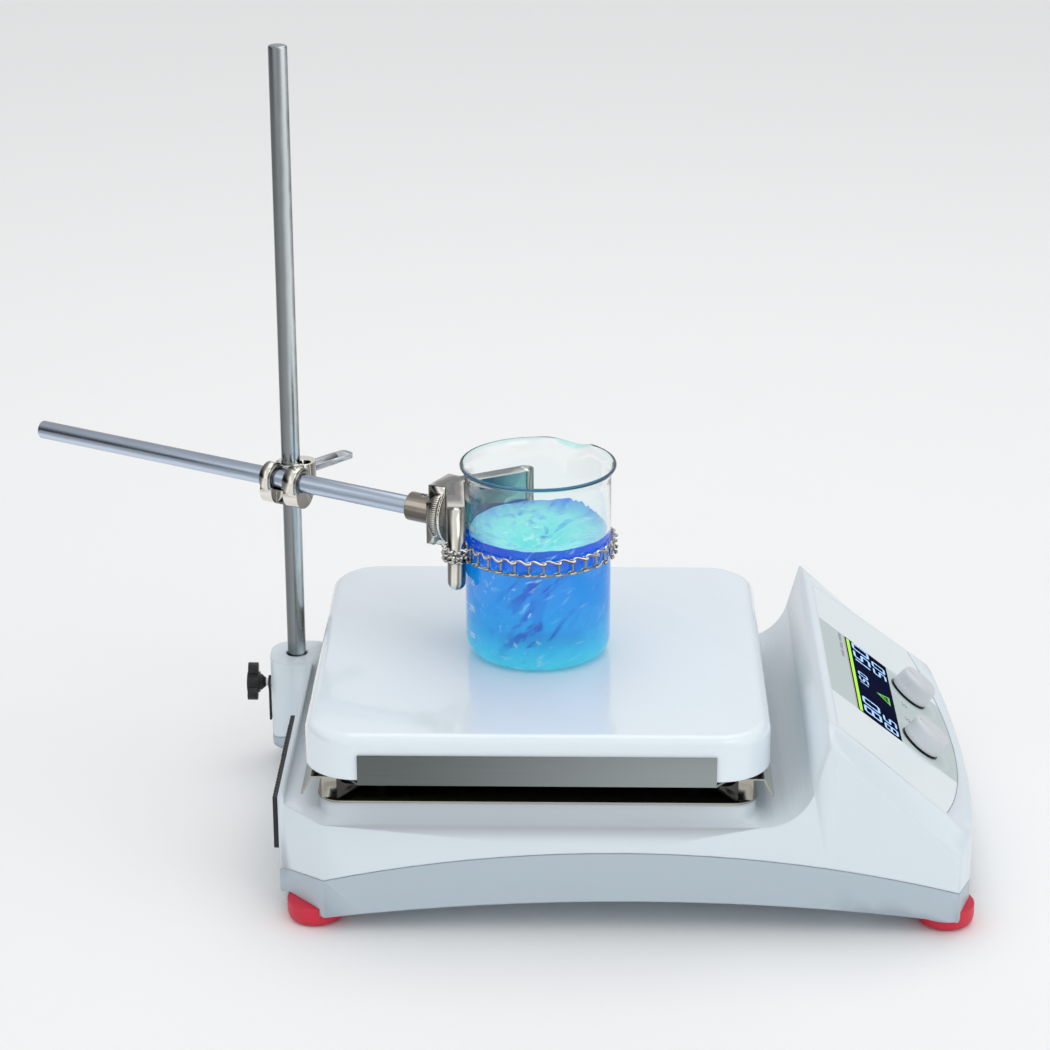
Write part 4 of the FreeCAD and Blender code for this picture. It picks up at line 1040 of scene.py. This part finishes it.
@dataclass
class Panel:
    """Sloped control panel: film, display, printed marks and the two knobs."""

    bench: Bench
    ridge_y: float = -172.0
    ridge_z: float = 127.5
    slope: float = math.atan(0.795)
    ink: tuple[float, float] = (0.01, 0.05)
    print_height: float = 0.03
    screen_half: float = 55.5
    status: tuple[float, float] = (30.6, 33.2)
    screen_line: tuple[float, float] = (28.5, 28.9)
    digits: dict[str, str] = field(default_factory=lambda: {
        "0": "abcdef", "1": "bc", "2": "abged", "3": "abgcd", "5": "afgcd", "8": "abcdefg"})

    def spot(self, x: float, v: float, lift: float) -> Point:
        """A point of the panel.

        Args:
            x: Across the panel, in row X.
            v: Down the slope from the ridge.
            lift: Above the film.

        Returns:
            The point in millimetres.
        """
        c, s = math.cos(self.slope), math.sin(self.slope)
        return x, self.ridge_y - v * c - lift * s, self.ridge_z - v * s + lift * c

    def flats(self, name: str, outlines: list[Outline], low: float, high: float) -> bpy.types.Mesh:
        """Thin raised shapes on the panel.

        Args:
            name: The mesh's name.
            outlines: Corners (x, v) of each shape.
            low: Underside above the film.
            high: Top above the film.

        Returns:
            One mesh of all the shapes.
        """
        points, faces = [], []
        for outline in outlines:
            n, first = len(outline), len(points)
            points += [self.spot(x, v, lift) for lift in (low, high) for x, v in outline]
            faces.append(tuple(first + k for k in range(n)))
            faces.append(tuple(first + n + k for k in reversed(range(n))))
            for k in range(n):
                ahead = (k + 1) % n
                faces.append((first + k, first + ahead, first + n + ahead, first + n + k))
        return mesh_of(name, points, faces)

    def bar(self, x0: float, x1: float, v0: float, v1: float) -> Outline:
        """Corners of a plain bar."""
        return [(x0, v0), (x1, v0), (x1, v1), (x0, v1)]

    def strokes(self, text: str, x: float, v: float, width: float, height: float, thick: float,
                gap: float) -> list[Outline]:
        """Seven-segment figures that read from the front of the stirrer.

        Args:
            text: Figures to show.
            x: Left edge of the first figure.
            v: Upper edge of the figures.
            width: Width of a figure.
            height: Height of a figure.
            thick: Thickness of a segment.
            gap: Space between figures.

        Returns:
            The segments' outlines.
        """
        half, out = thick / 2, []
        ends = {"a": (0, 0, 1, 0), "g": (0, 0.5, 1, 0.5), "d": (0, 1, 1, 1), "f": (0, 0, 0, 0.5),
                "b": (1, 0, 1, 0.5), "e": (0, 0.5, 0, 1), "c": (1, 0.5, 1, 1)}
        for k, figure in enumerate(text):
            left = x + k * (width + gap)
            for segment in self.digits[figure]:
                x0, v0, x1, v1 = ends[segment]
                ax, av = left + x0 * width, v + v0 * height
                bx, bv = left + x1 * width, v + v1 * height
                trim, tip = half * 0.5, half * 0.7
                if x0 != x1:
                    ax, bx = ax + trim, bx - trim
                    out.append([(ax - tip, av), (ax, av - half), (bx, bv - half), (bx + tip, bv),
                                (bx, bv + half), (ax, av + half)])
                else:
                    av, bv = av + trim, bv - trim
                    out.append([(ax, av - tip), (ax + half, av), (bx + half, bv), (bx, bv + tip),
                                (bx - half, bv), (ax - half, av)])
        return out

    def readings(self) -> list[Outline]:
        """All lit figures of the display.

        Returns:
            The segments' outlines.
        """
        big, small, tiny = 1.9, 1.6, 1.2
        shapes = self.strokes("150", 21.0, 36.0, 8.4, 12.4, big, 4.6)
        shapes += self.strokes("50", 30.0, 52.0, 7.0, 9.6, small, 4.2)
        shapes += self.strokes("80", -50.0, 36.0, 8.4, 12.4, big, 4.6)
        shapes += self.strokes("85", -53.0, 52.0, 7.0, 9.6, small, 4.2)
        shapes += self.strokes("150", -9.0, 36.6, 4.6, 6.8, tiny, 3.2)
        return shapes

    def front_arc(self, radius: float = 332.4, crown: float = 114.3, width: float = 0.5,
                  half: float = 121.0) -> list[Outline]:
        """The dark joint along the film's curved front edge.

        Args:
            radius: Radius of the arc.
            crown: Its lowest point down the slope.
            width: Width of the joint.
            half: Half its reach across.

        Returns:
            Short bars that follow the arc.
        """
        edge = [(x, crown - radius + math.sqrt(radius ** 2 - x ** 2))
                for x in (half * (k / 16 - 1) for k in range(33))]
        return [[a, b, (b[0], b[1] - width), (a[0], a[1] - width)] for a, b in zip(edge, edge[1:])]

    def warning(self) -> list[Outline]:
        """Outline of the hot-surface triangle.

        Returns:
            The frame's three sides and the mark inside it.
        """
        tip, left, right = (-3.0, 50.0), (-9.2, 61.0), (3.2, 61.0)
        middle = Vector((-3.0, 57.3))
        inner = [middle.lerp(Vector(p), 0.62) for p in (tip, left, right)]
        corners = [Vector(tip), Vector(left), Vector(right)]
        frame = [[tuple(p) for p in (corners[k], corners[k - 2], inner[k - 2], inner[k])] for k in range(3)]
        return frame + [self.bar(-3.4, -2.6, 54.6, 57.8), self.bar(-3.4, -2.6, 58.4, 59.2)]

    def build(self) -> None:
        """Dresses the panel and prints its marks."""
        bench = self.bench
        bench.refine("control_overlay", Palette.FILM)
        bench.refine("display_window", Palette.WINDOW)
        half = self.screen_half
        lit = {"figures": (self.readings(), Palette.DIGIT),
               "status_bar": ([self.bar(-half, half, *self.status)], Palette.LIME),
               "edge_line": ([self.bar(-half - 1, half + 1, *self.screen_line)], Palette.PINK),
               "hot_sign": (self.warning(), Palette.GREEN)}
        for name, (shapes, finish) in lit.items():
            bench.add(name, self.flats(name, shapes, *self.ink), finish, "housing")
        words = [self.bar(18.0 + 2.1 * k, 19.3 + 2.1 * k, 23.6, 26.0)
                 for k in range(18) if k not in (5, 11)]
        dots = ((0, 0), (1.8, 1.2), (3.6, 0), (1.8, 3.4), (0, 2.6), (3.6, 2.6))
        icons = [self.bar(x + dx, x + dx + 1.2, 72.6 + dv, 73.8 + dv)
                 for x in (-13.0, 9.0) for dx, dv in dots]
        marks = self.flats("printed_marks", words + icons, 0.0, self.print_height)
        bench.add("printed_marks", marks, Palette.PRINT, "housing")
        joint = self.flats("film_edge", self.front_arc(), 0.0, 2 * self.print_height)
        bench.add("film_edge", joint, Palette.PRINT, "housing")
        bench.refine("knob_bezels", Palette.KNOB_RING)
        for side in ("heat", "speed"):
            bench.refine(side + "_knob", Palette.KNOB)
            bench.dress(Palette.SHAFT, side + "_push_pin", side + "_encoder_shaft")


@dataclass
class RearPanel:
    """Black rear panel with louvres, mains inlet, fuse drawer and switch."""

    bench: Bench
    louvres: int = 17
    pitch: float = 2.0

    def build(self) -> None:
        """Dresses the panel and lays its louvres out in a line."""
        bench = self.bench
        bench.refine("rear_panel", Palette.PANEL, 0.4 * MM)
        low, high = (corner * 1000 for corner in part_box("rear_panel"))
        rib = [(-46.0, high.y - 0.1), (0.5, high.y - 0.1), (0.5, high.y + 1.1), (-46.0, high.y + 1.1)]
        points = [(x, y, z) for z in (0.0, 1.1) for x, y in rib]
        faces = [(0, 1, 2, 3), (4, 5, 6, 7), (0, 1, 5, 4), (1, 2, 6, 5), (2, 3, 7, 6), (3, 0, 4, 7)]
        slat = mesh_of("louvre", points, faces)
        count = int((high.z - low.z - 5) / self.pitch)
        mesh = Repeat("louvre_row", Layout.LINE).make(
            "rear_louvres", slat, Palette.PANEL, Count=count,
            Start=(0.0, 0.0, (low.z + 2.5) * MM), Step=(0.0, 0.0, self.pitch * MM))
        bench.add("rear_louvres", mesh, Palette.PANEL, "housing")
        bench.dress(Palette.PANEL, "power_inlet", "fuse_drawer")
        bench.dress(Palette.BRASS, "inlet_pins")
        bench.dress(Palette.GLASS, "fuses")
        bench.dress(Palette.COMPONENT, "power_switch")


@dataclass
class Stand:
    """Rod socket, support rod, hook connector and cross rod."""

    bench: Bench

    def build(self) -> None:
        """Dresses the stand."""
        bench = self.bench
        bench.dress(Palette.SHAFT, "rod_socket")
        bench.dress(Palette.ZINC, "lock_screw", "set_screw")
        bench.refine("lock_knob", Palette.GRIP, 0.5 * MM)
        bench.refine("knob_strap", Palette.STRAP, 0.2 * MM)
        bench.refine("support_rod", Palette.ROD, 0.5 * MM)
        bench.refine("cross_rod", Palette.ARM, 0.5 * MM)
        bench.refine("boss_head", Palette.NICKEL)
        bench.refine("wing_screw", Palette.ZINC)


@dataclass
class ChainClamp:
    """V-shaped clamp head with the ladder chain that holds the beaker."""

    bench: Bench
    centre: Point = (-2.5, 1.4, 196.6)
    arm: float = math.radians(60.8)
    reach: float = 46.9
    pitch: float = 8.8
    gauge: float = 0.8
    post: tuple[float, float] = (33.75, 41.35)
    coil: float = 6.5
    coil_pitch: float = 4.1

    def link(self, pitch: float, rise: float, name: str) -> bpy.types.Mesh:
        """One bent-wire link along +X: a rung with two arms that hook round the next rung.

        Args:
            pitch: Distance to the next link.
            rise: Half the width of the chain.
            name: The mesh's name.

        Returns:
            The mesh.
        """
        half = [(0.0, 0.0, 0.0), (0.0, 0.0, 0.66), (0.06, 0.1, 0.86), (0.2, 0.25, 1.02), (0.42, 0.1, 1.04),
                (0.7, -0.7, 0.86), (0.94, -1.1, 0.74), (1.1, -0.8, 0.72), (1.16, 0.2, 0.8),
                (1.08, 1.0, 0.88), (0.92, 1.1, 0.92), (0.8, 0.9, 0.9)]
        line = [(x * pitch, -y, -z * rise) for x, y, z in reversed(half[1:])]
        line += [(x * pitch, y, z * rise) for x, y, z in half]
        points, faces = wire(curved(line, 3), self.gauge, 7)
        return mesh_of(name, points, faces, 60.0)

    def on_arm(self, along: float, across: float, z: float) -> Vector:
        """A point given in the arm's own directions."""
        c, s = math.cos(self.arm), math.sin(self.arm)
        return Vector((self.centre[0] + along * c - across * s, self.centre[1] + along * s + across * c, z))

    def run(self) -> list[Vector]:
        """The chain's line round the beaker, from post to post.

        Returns:
            The line's points.
        """
        start = math.radians(47)
        turns = [start + (2 * math.pi - 2 * start) * k / 120 for k in range(121)]
        return [self.on_arm(self.reach * math.cos(turn), self.reach * math.sin(turn), self.centre[2])
                for turn in turns]

    def wrap(self, side: int, loops: float) -> list[Vector]:
        """The chain's coils round one post.

        Args:
            side: 1 for the near post, -1 for the far one.
            loops: Times round it.

        Returns:
            The line's points.
        """
        px, py, line = self.post[0], self.post[1] * side, []
        for k in range(int(loops * 24) + 1):
            turn, share = math.radians(200 + 15 * k), k / (loops * 24)
            line.append(self.on_arm(px + self.coil * math.cos(turn), py + self.coil * math.sin(turn),
                                    self.centre[2] + 4.0 - 8.0 * share))
        return line

    def build(self) -> None:
        """Dresses the clamp and hangs the chain."""
        bench = self.bench
        bench.refine("clamp_head", Palette.NICKEL)
        bench.refine("clamp_sleeve", Palette.SLEEVE)
        row = Repeat("chain_path", Layout.PATH)
        mesh = row.make("ladder_chain", self.link(self.pitch, 4.5, "chain_link"), Palette.CHAIN,
                        self.run(), Pitch=self.pitch * MM)
        bench.add("ladder_chain", mesh, Palette.CHAIN, "arm", "chain")
        for side, loops, name in ((1, 2.4, "near_coil"), (-1, 1.2, "far_coil")):
            link = self.link(self.coil_pitch, 2.3, name + "_link")
            mesh = row.make(name, link, Palette.CHAIN, self.wrap(side, loops), Pitch=self.coil_pitch * MM)
            bench.add(name, mesh, Palette.CHAIN, "arm")


@dataclass
class Beaker:
    """Low-form beaker with a spout, a scale, dyed water in a vortex and the stir bar."""

    bench: Bench
    centre: tuple[float, float] = (-2.5, 1.4)
    foot: float = 126.2
    radius: float = 45.0
    height: float = 122.5
    wall: float = 2.2
    rim: float = 48.2
    spout: float = math.radians(-28)
    level: float = 208.5
    core: tuple[float, float] = (140.0, 183.0)
    mark_pitch: float = 8.8
    mark_side: float = math.radians(97)
    steps: int = 128

    def around(self, r: float, turn: float, z: float) -> Point:
        """A point at a distance and a direction from the beaker's axis."""
        return self.centre[0] + r * math.cos(turn), self.centre[1] + r * math.sin(turn), z

    def turned(self, name: str, profile: Outline) -> bpy.types.Mesh:
        """A closed turned body from the axis out and back, with the spout drawn into it.

        Args:
            name: The mesh's name.
            profile: (radius, height) pairs that start and end on the axis.

        Returns:
            The mesh.
        """
        points, faces = [], []
        for k in range(self.steps):
            turn = 2 * math.pi * k / self.steps
            for r, z in profile:
                out, up = self.lip(r, z, turn)
                points.append(self.around(out, turn, up))
        n = len(profile)
        for k in range(self.steps):
            j = (k + 1) % self.steps
            for i in range(n - 1):
                faces.append((k * n + i, j * n + i, j * n + i + 1, k * n + i + 1))
        return mesh_of(name, points, faces, 40.0)

    def lip(self, r: float, z: float, turn: float) -> tuple[float, float]:
        """Radius and height of a point near the spout.

        Args:
            r: Radius before.
            z: Height before.
            turn: Direction round the beaker.

        Returns:
            Radius and height after.
        """
        off = abs((turn - self.spout + math.pi) % (2 * math.pi) - math.pi)
        near = math.exp(-(off / 0.2) ** 2)
        beside = math.exp(-((off - 0.36) / 0.13) ** 2)
        high = max(0.0, (z - self.foot - self.height + 13) / 13)
        return r + (5.0 * near - 1.6 * beside) * high ** 2, z - (4.2 * near - 0.9 * beside) * high ** 3

    def glass(self) -> bpy.types.Mesh:
        """Wall, foot and rolled rim of the beaker.

        Returns:
            The mesh.
        """
        r, t, h, rim = self.radius, self.wall, self.height, self.rim
        outline = [(0, 0.8), (r - 12, 0.6), (r - 9, 0), (r - 6.5, 0.3), (r - 3.4, 1.9), (r - 1.1, 4.6),
                   (r, 9.0), (r, 40.0), (r, 80.0), (r, h - 12.0), (r + 0.15, h - 8.0), (r + 0.8, h - 4.6),
                   (rim - 0.6, h - 2.4), (rim - 0.1, h - 1.6), (rim, h - 0.9), (rim - 0.4, h - 0.2),
                   (rim - 1.1, h), (rim - 2.0, h - 0.6), (r - 0.9, h - 3.4), (r - t + 0.3, h - 7.6),
                   (r - t, h - 12.0), (r - t, 80.0), (r - t, 40.0),
                   (r - t, 9.6), (r - t - 1.6, 5.6), (r - t - 5, 3.3), (r - 13, 2.8), (0, 3.0)]
        return self.turned("beaker_glass", [(a, self.foot + b) for a, b in outline])

    def surface_height(self, r: float, turn: float) -> float:
        """Height of the spinning surface.

        Args:
            r: Distance from the axis.
            turn: Direction round the axis.

        Returns:
            The height in millimetres.
        """
        share = r / (self.radius - self.wall)
        funnel = 25.0 / (1 + (r / 11.0) ** 2) + 4.0 * (1 - share ** 2)
        where = Vector((r * math.cos(turn + r * 0.03), r * math.sin(turn + r * 0.03), 0.0))
        wave = noise.noise(where * 0.09) * 1.6 + noise.noise(where * 0.27) * 0.7
        off = abs((turn - math.radians(-30) + math.pi) % (2 * math.pi) - math.pi)
        splash = math.exp(-(off / 0.42) ** 2) * max(0.0, (share - 0.72) / 0.28)
        lump = splash * (2.8 + 4.6 * noise.noise(where * 0.5 + Vector((0, 0, 7))))
        return self.level - funnel + wave * (1 - 0.6 * share ** 6) + lump

    def water(self) -> bpy.types.Mesh:
        """The dyed water: a turned body whose top carries the vortex.

        Returns:
            The mesh, with one finish below and one for the surface.
        """
        inner = self.radius - self.wall + 0.04
        side = [(0.0, 2.95), (16.0, 2.9), (32.0, 2.76), (37.8, 3.26), (41.25, 5.56), (inner, 9.6),
                (inner, 23.8), (inner, 43.8), (inner, 63.8)]
        side = [(r, self.foot + z) for r, z in side]
        rings = [inner * (1 - (k / 40) ** 1.2) for k in range(41)]
        points, faces = [], []
        n = len(side) + len(rings)
        for k in range(self.steps):
            turn = 2 * math.pi * k / self.steps
            for r, z in side + [(r, self.surface_height(r, turn)) for r in rings]:
                points.append(self.around(r, turn, z))
        for k in range(self.steps):
            j = (k + 1) % self.steps
            faces += [(k * n + i, j * n + i, j * n + i + 1, k * n + i + 1) for i in range(n - 1)]
        mesh = mesh_of("dyed_water", points, faces, 60.0)
        mesh.materials.append(Palette.WATER.material())
        mesh.materials.append(Palette.WATER_TOP.material())
        for face in mesh.polygons:
            away = (face.center.xy - Vector(self.centre) * MM).length
            face.material_index = int(face.normal.z > 0.05 and away < (inner - 0.2) * MM)
        return mesh

    def streaks(self) -> bpy.types.Mesh:
        """Twisted threads of air and dye down the middle of the vortex.

        Returns:
            The mesh.
        """
        points, faces, (low, high) = [], [], self.core
        for k in range(9):
            line = []
            for j in range(34):
                share, stray = j / 33, noise.noise(Vector((k * 3.1, j * 0.21, 2)))
                r = 1.4 + (4.0 + 0.9 * (k % 4)) * share ** 1.6 + 1.1 * stray
                turn = 2 * math.pi * k / 9 + share * (2.3 + 0.3 * (k % 3))
                line.append(Vector(self.around(r, turn, low + (high - low) * share)))
            corners, sides = wire(line, 0.35 + 0.14 * (k % 3), 6, len(points))
            points += corners
            faces += sides
        return mesh_of("vortex_streaks", points, faces, 80.0)

    def bubbles(self) -> bpy.types.Mesh:
        """Small bubbles that ride the vortex.

        Returns:
            The mesh.
        """
        ball = bmesh.new()
        bmesh.ops.create_icosphere(ball, subdivisions=1, radius=0.62 * MM)
        unit = bpy.data.meshes.new("bubble")
        ball.to_mesh(unit)
        ball.free()
        line = []
        for k in range(26):
            share = k / 25
            turn = math.radians(150) + share * 9.0
            r = 7.0 + 4.0 * noise.noise(Vector((k * 0.9, 0.3, 0.1))) + 8.0 * share ** 2
            line.append(Vector(self.around(r, turn, 138.0 + 48.0 * share)))
        row = Repeat("bubble_path", Layout.PATH)
        return row.make("bubbles", unit, Palette.BUBBLE, line, Pitch=5.5 * MM)

    def bent(self, mesh: bpy.types.Mesh, left: float, base: float) -> bpy.types.Mesh:
        """Wraps a flat mesh in the XY plane round the beaker's wall.

        Args:
            mesh: Flat mesh in millimetres.
            left: Direction of its left edge, in radians.
            base: Height of its lower edge.

        Returns:
            The same mesh, in metres.
        """
        for corner in mesh.vertices:
            x, y, lift = corner.co
            r = self.radius + 0.02 + lift
            corner.co = Vector(self.around(r, left + x / self.radius, base + y)) * MM
        return mesh

    def marks(self) -> bpy.types.Mesh:
        """Enamel marks up the wall, one for each tenth of the volume and longer at every second.

        Returns:
            The mesh.
        """
        points, faces = [], []
        for k in range(1, 11):
            length = 9.0 if k % 2 == 0 else 5.5
            z, first = self.foot - 1.0 + self.mark_pitch * k, len(points)
            for share in range(5):
                turn = self.mark_side + length * share / 4 / self.radius
                points += [self.around(self.radius + out, turn, z + up)
                           for out in (0.01, 0.07) for up in (-0.22, 0.22)]
            for share in range(4):
                a = first + share * 4
                faces += [(a + i, a + j, a + j + 4, a + i + 4) for i, j in ((0, 1), (2, 3), (0, 2), (1, 3))]
            faces += [(a, a + 1, a + 3, a + 2) for a in (first, first + 16)]
        return mesh_of("scale_marks", points, faces)

    def figure(self, text: str, tenth: int) -> bpy.types.Mesh:
        """A volume's figure beside its mark.

        Args:
            text: The figure.
            tenth: Which mark it belongs to.

        Returns:
            The mesh.
        """
        line = bpy.data.curves.new("figure_" + text, "FONT")
        line.body, line.size, line.extrude = text, 5.4, 0.02
        holder = bpy.data.objects.new("figure_" + text, line)
        bpy.context.scene.collection.objects.link(holder)
        bpy.context.view_layer.update()
        evaluated = holder.evaluated_get(bpy.context.evaluated_depsgraph_get())
        mesh = bpy.data.meshes.new_from_object(evaluated)
        bpy.data.objects.remove(holder)
        mesh.materials.clear()
        base = self.foot - 3.2 + self.mark_pitch * tenth
        return self.bent(mesh, self.mark_side + 10.5 / self.radius, base)

    def build(self) -> None:
        """Makes the glass, the water and what moves in it."""
        bench = self.bench
        bench.add("beaker_glass", self.glass(), Palette.GLASS, "vessel", "beaker")
        bench.add("dyed_water", self.water(), Palette.WATER, "vessel")
        bench.add("vortex_streaks", self.streaks(), Palette.SWIRL, "vessel")
        bench.add("bubbles", self.bubbles(), Palette.BUBBLE, "vessel")
        bench.add("scale_marks", self.marks(), Palette.ENAMEL, "vessel")
        for tenth, text in ((2, "100"), (4, "200"), (6, "300"), (8, "400"), (10, "500")):
            bench.add("scale_figure_" + text, self.figure(text, tenth), Palette.ENAMEL, "vessel")
        bench.refine("stir_bar", Palette.TEFLON)


@dataclass
class Studio:
    """Pale floor, soft lights and the camera."""

    eye: Point = (-1.7484, -0.0287, 0.8744)
    ahead: Point = (0.93398, 0.02042, -0.35676)
    roll: float = math.radians(0.169)
    lens: float = 103.94
    middle: Point = (0.0, -0.05, 0.1)
    brightness: float = 0.8
    walls: tuple[tuple[float, float], ...] = (
        (0.0, 0.8), (0.08, 0.55), (0.14, 1.5), (0.22, 1.5), (0.28, 0.5), (0.36, 0.12), (0.5, 0.9),
        (0.62, 0.7), (0.70, 0.1), (0.80, 0.08), (0.88, 1.3), (0.93, 1.3), (1.0, 0.8))

    def floor(self) -> None:
        """A wide pale floor."""
        mesh = bpy.data.meshes.new("floor")
        mesh.from_pydata([(-9, -9, 0), (9, -9, 0), (9, 9, 0), (-9, 9, 0)], [], [(0, 1, 2, 3)])
        finish = Moulded("floor_paint", "", (0.965, 0.97, 0.975), 0.75, 0.0, 300.0, 0.0, 0.0, 0.003)
        mesh.materials.append(finish.material())
        plane = bpy.data.objects.new("floor", mesh)
        plane.location.z = -0.0002
        bpy.context.scene.collection.objects.link(plane)

    def lamp(self, name: str, place: Point, size: float, power: float, colour: Colour) -> None:
        """A square soft light that faces the stirrer.

        Args:
            name: The light's name.
            place: Where it hangs.
            size: Its side.
            power: Its power in watts.
            colour: Its colour.
        """
        light = bpy.data.lights.new(name, "AREA")
        light.shape, light.size, light.energy, light.color = "SQUARE", size, power, colour
        holder = bpy.data.objects.new(name, light)
        holder.location = place
        aim = Vector(self.middle) - Vector(place)
        holder.rotation_euler = aim.to_track_quat("-Z", "Y").to_euler()
        bpy.context.scene.collection.objects.link(holder)

    def sky(self) -> None:
        """Room light: bright overhead, with grey walls for the metal to mirror."""
        room = bpy.data.worlds.new("room")
        bpy.context.scene.world = room
        graph = Graph(room)
        across, along, up = graph.axes(graph.node("ShaderNodeTexCoord").outputs["Generated"])
        share = along.angle(across) * (0.5 / math.pi) + 0.5
        walls = graph.ramp(share, tuple((place, (grey, grey, grey * 1.02)) for place, grey in self.walls))
        light = graph.mix(walls, (1.0, 1.0, 1.0), up.step(0.25, 0.75))
        back = graph.node("ShaderNodeBackground", {}, {"Color": light, "Strength": self.brightness})
        graph.node("ShaderNodeOutputWorld", {}, {"Surface": back.outputs[0]})

    def camera(self) -> None:
        """The camera, level but for a slight roll."""
        forward = Vector(self.ahead).normalized()
        level = forward.cross(Vector((0, 0, 1))).normalized()
        drop = forward.cross(level)
        right = math.cos(self.roll) * level + math.sin(self.roll) * drop
        up = -forward.cross(right)
        lens = bpy.data.cameras.new("camera")
        lens.lens, lens.sensor_width, lens.sensor_fit = self.lens, 36.0, "HORIZONTAL"
        lens.clip_start, lens.clip_end = 0.05, 50.0
        holder = bpy.data.objects.new("camera", lens)
        turn = Matrix((right, up, -forward)).transposed().to_4x4()
        holder.matrix_world = Matrix.Translation(Vector(self.eye)) @ turn
        bpy.context.scene.collection.objects.link(holder)
        bpy.context.scene.camera = holder

    def build(self) -> None:
        """Sets the studio up."""
        self.floor()
        self.sky()
        self.lamp("key", (-1.3, -1.0, 1.9), 1.2, 5.0, (1.0, 1.0, 1.0))
        self.lamp("fill", (-0.6, 1.6, 1.3), 1.0, 1.2, (0.96, 0.98, 1.0))
        self.lamp("top", (0.6, -0.2, 2.0), 1.4, 7.0, (1.0, 1.0, 1.0))
        self.camera()
        bpy.context.scene.view_settings.view_transform = "Standard"


def main() -> None:
    """Builds every sub-assembly in order, then the studio."""
    logging.basicConfig(level=logging.INFO, format="%(name)s: %(message)s")
    bench = Bench()
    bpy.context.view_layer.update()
    for group in (Housing, HotPlate, Drive, Electronics, Panel, RearPanel, Stand, ChainClamp, Beaker):
        LOG.info("building %s", group.__name__)
        group(bench).build()
    Studio().build()


if __name__ == "__main__":
    main()
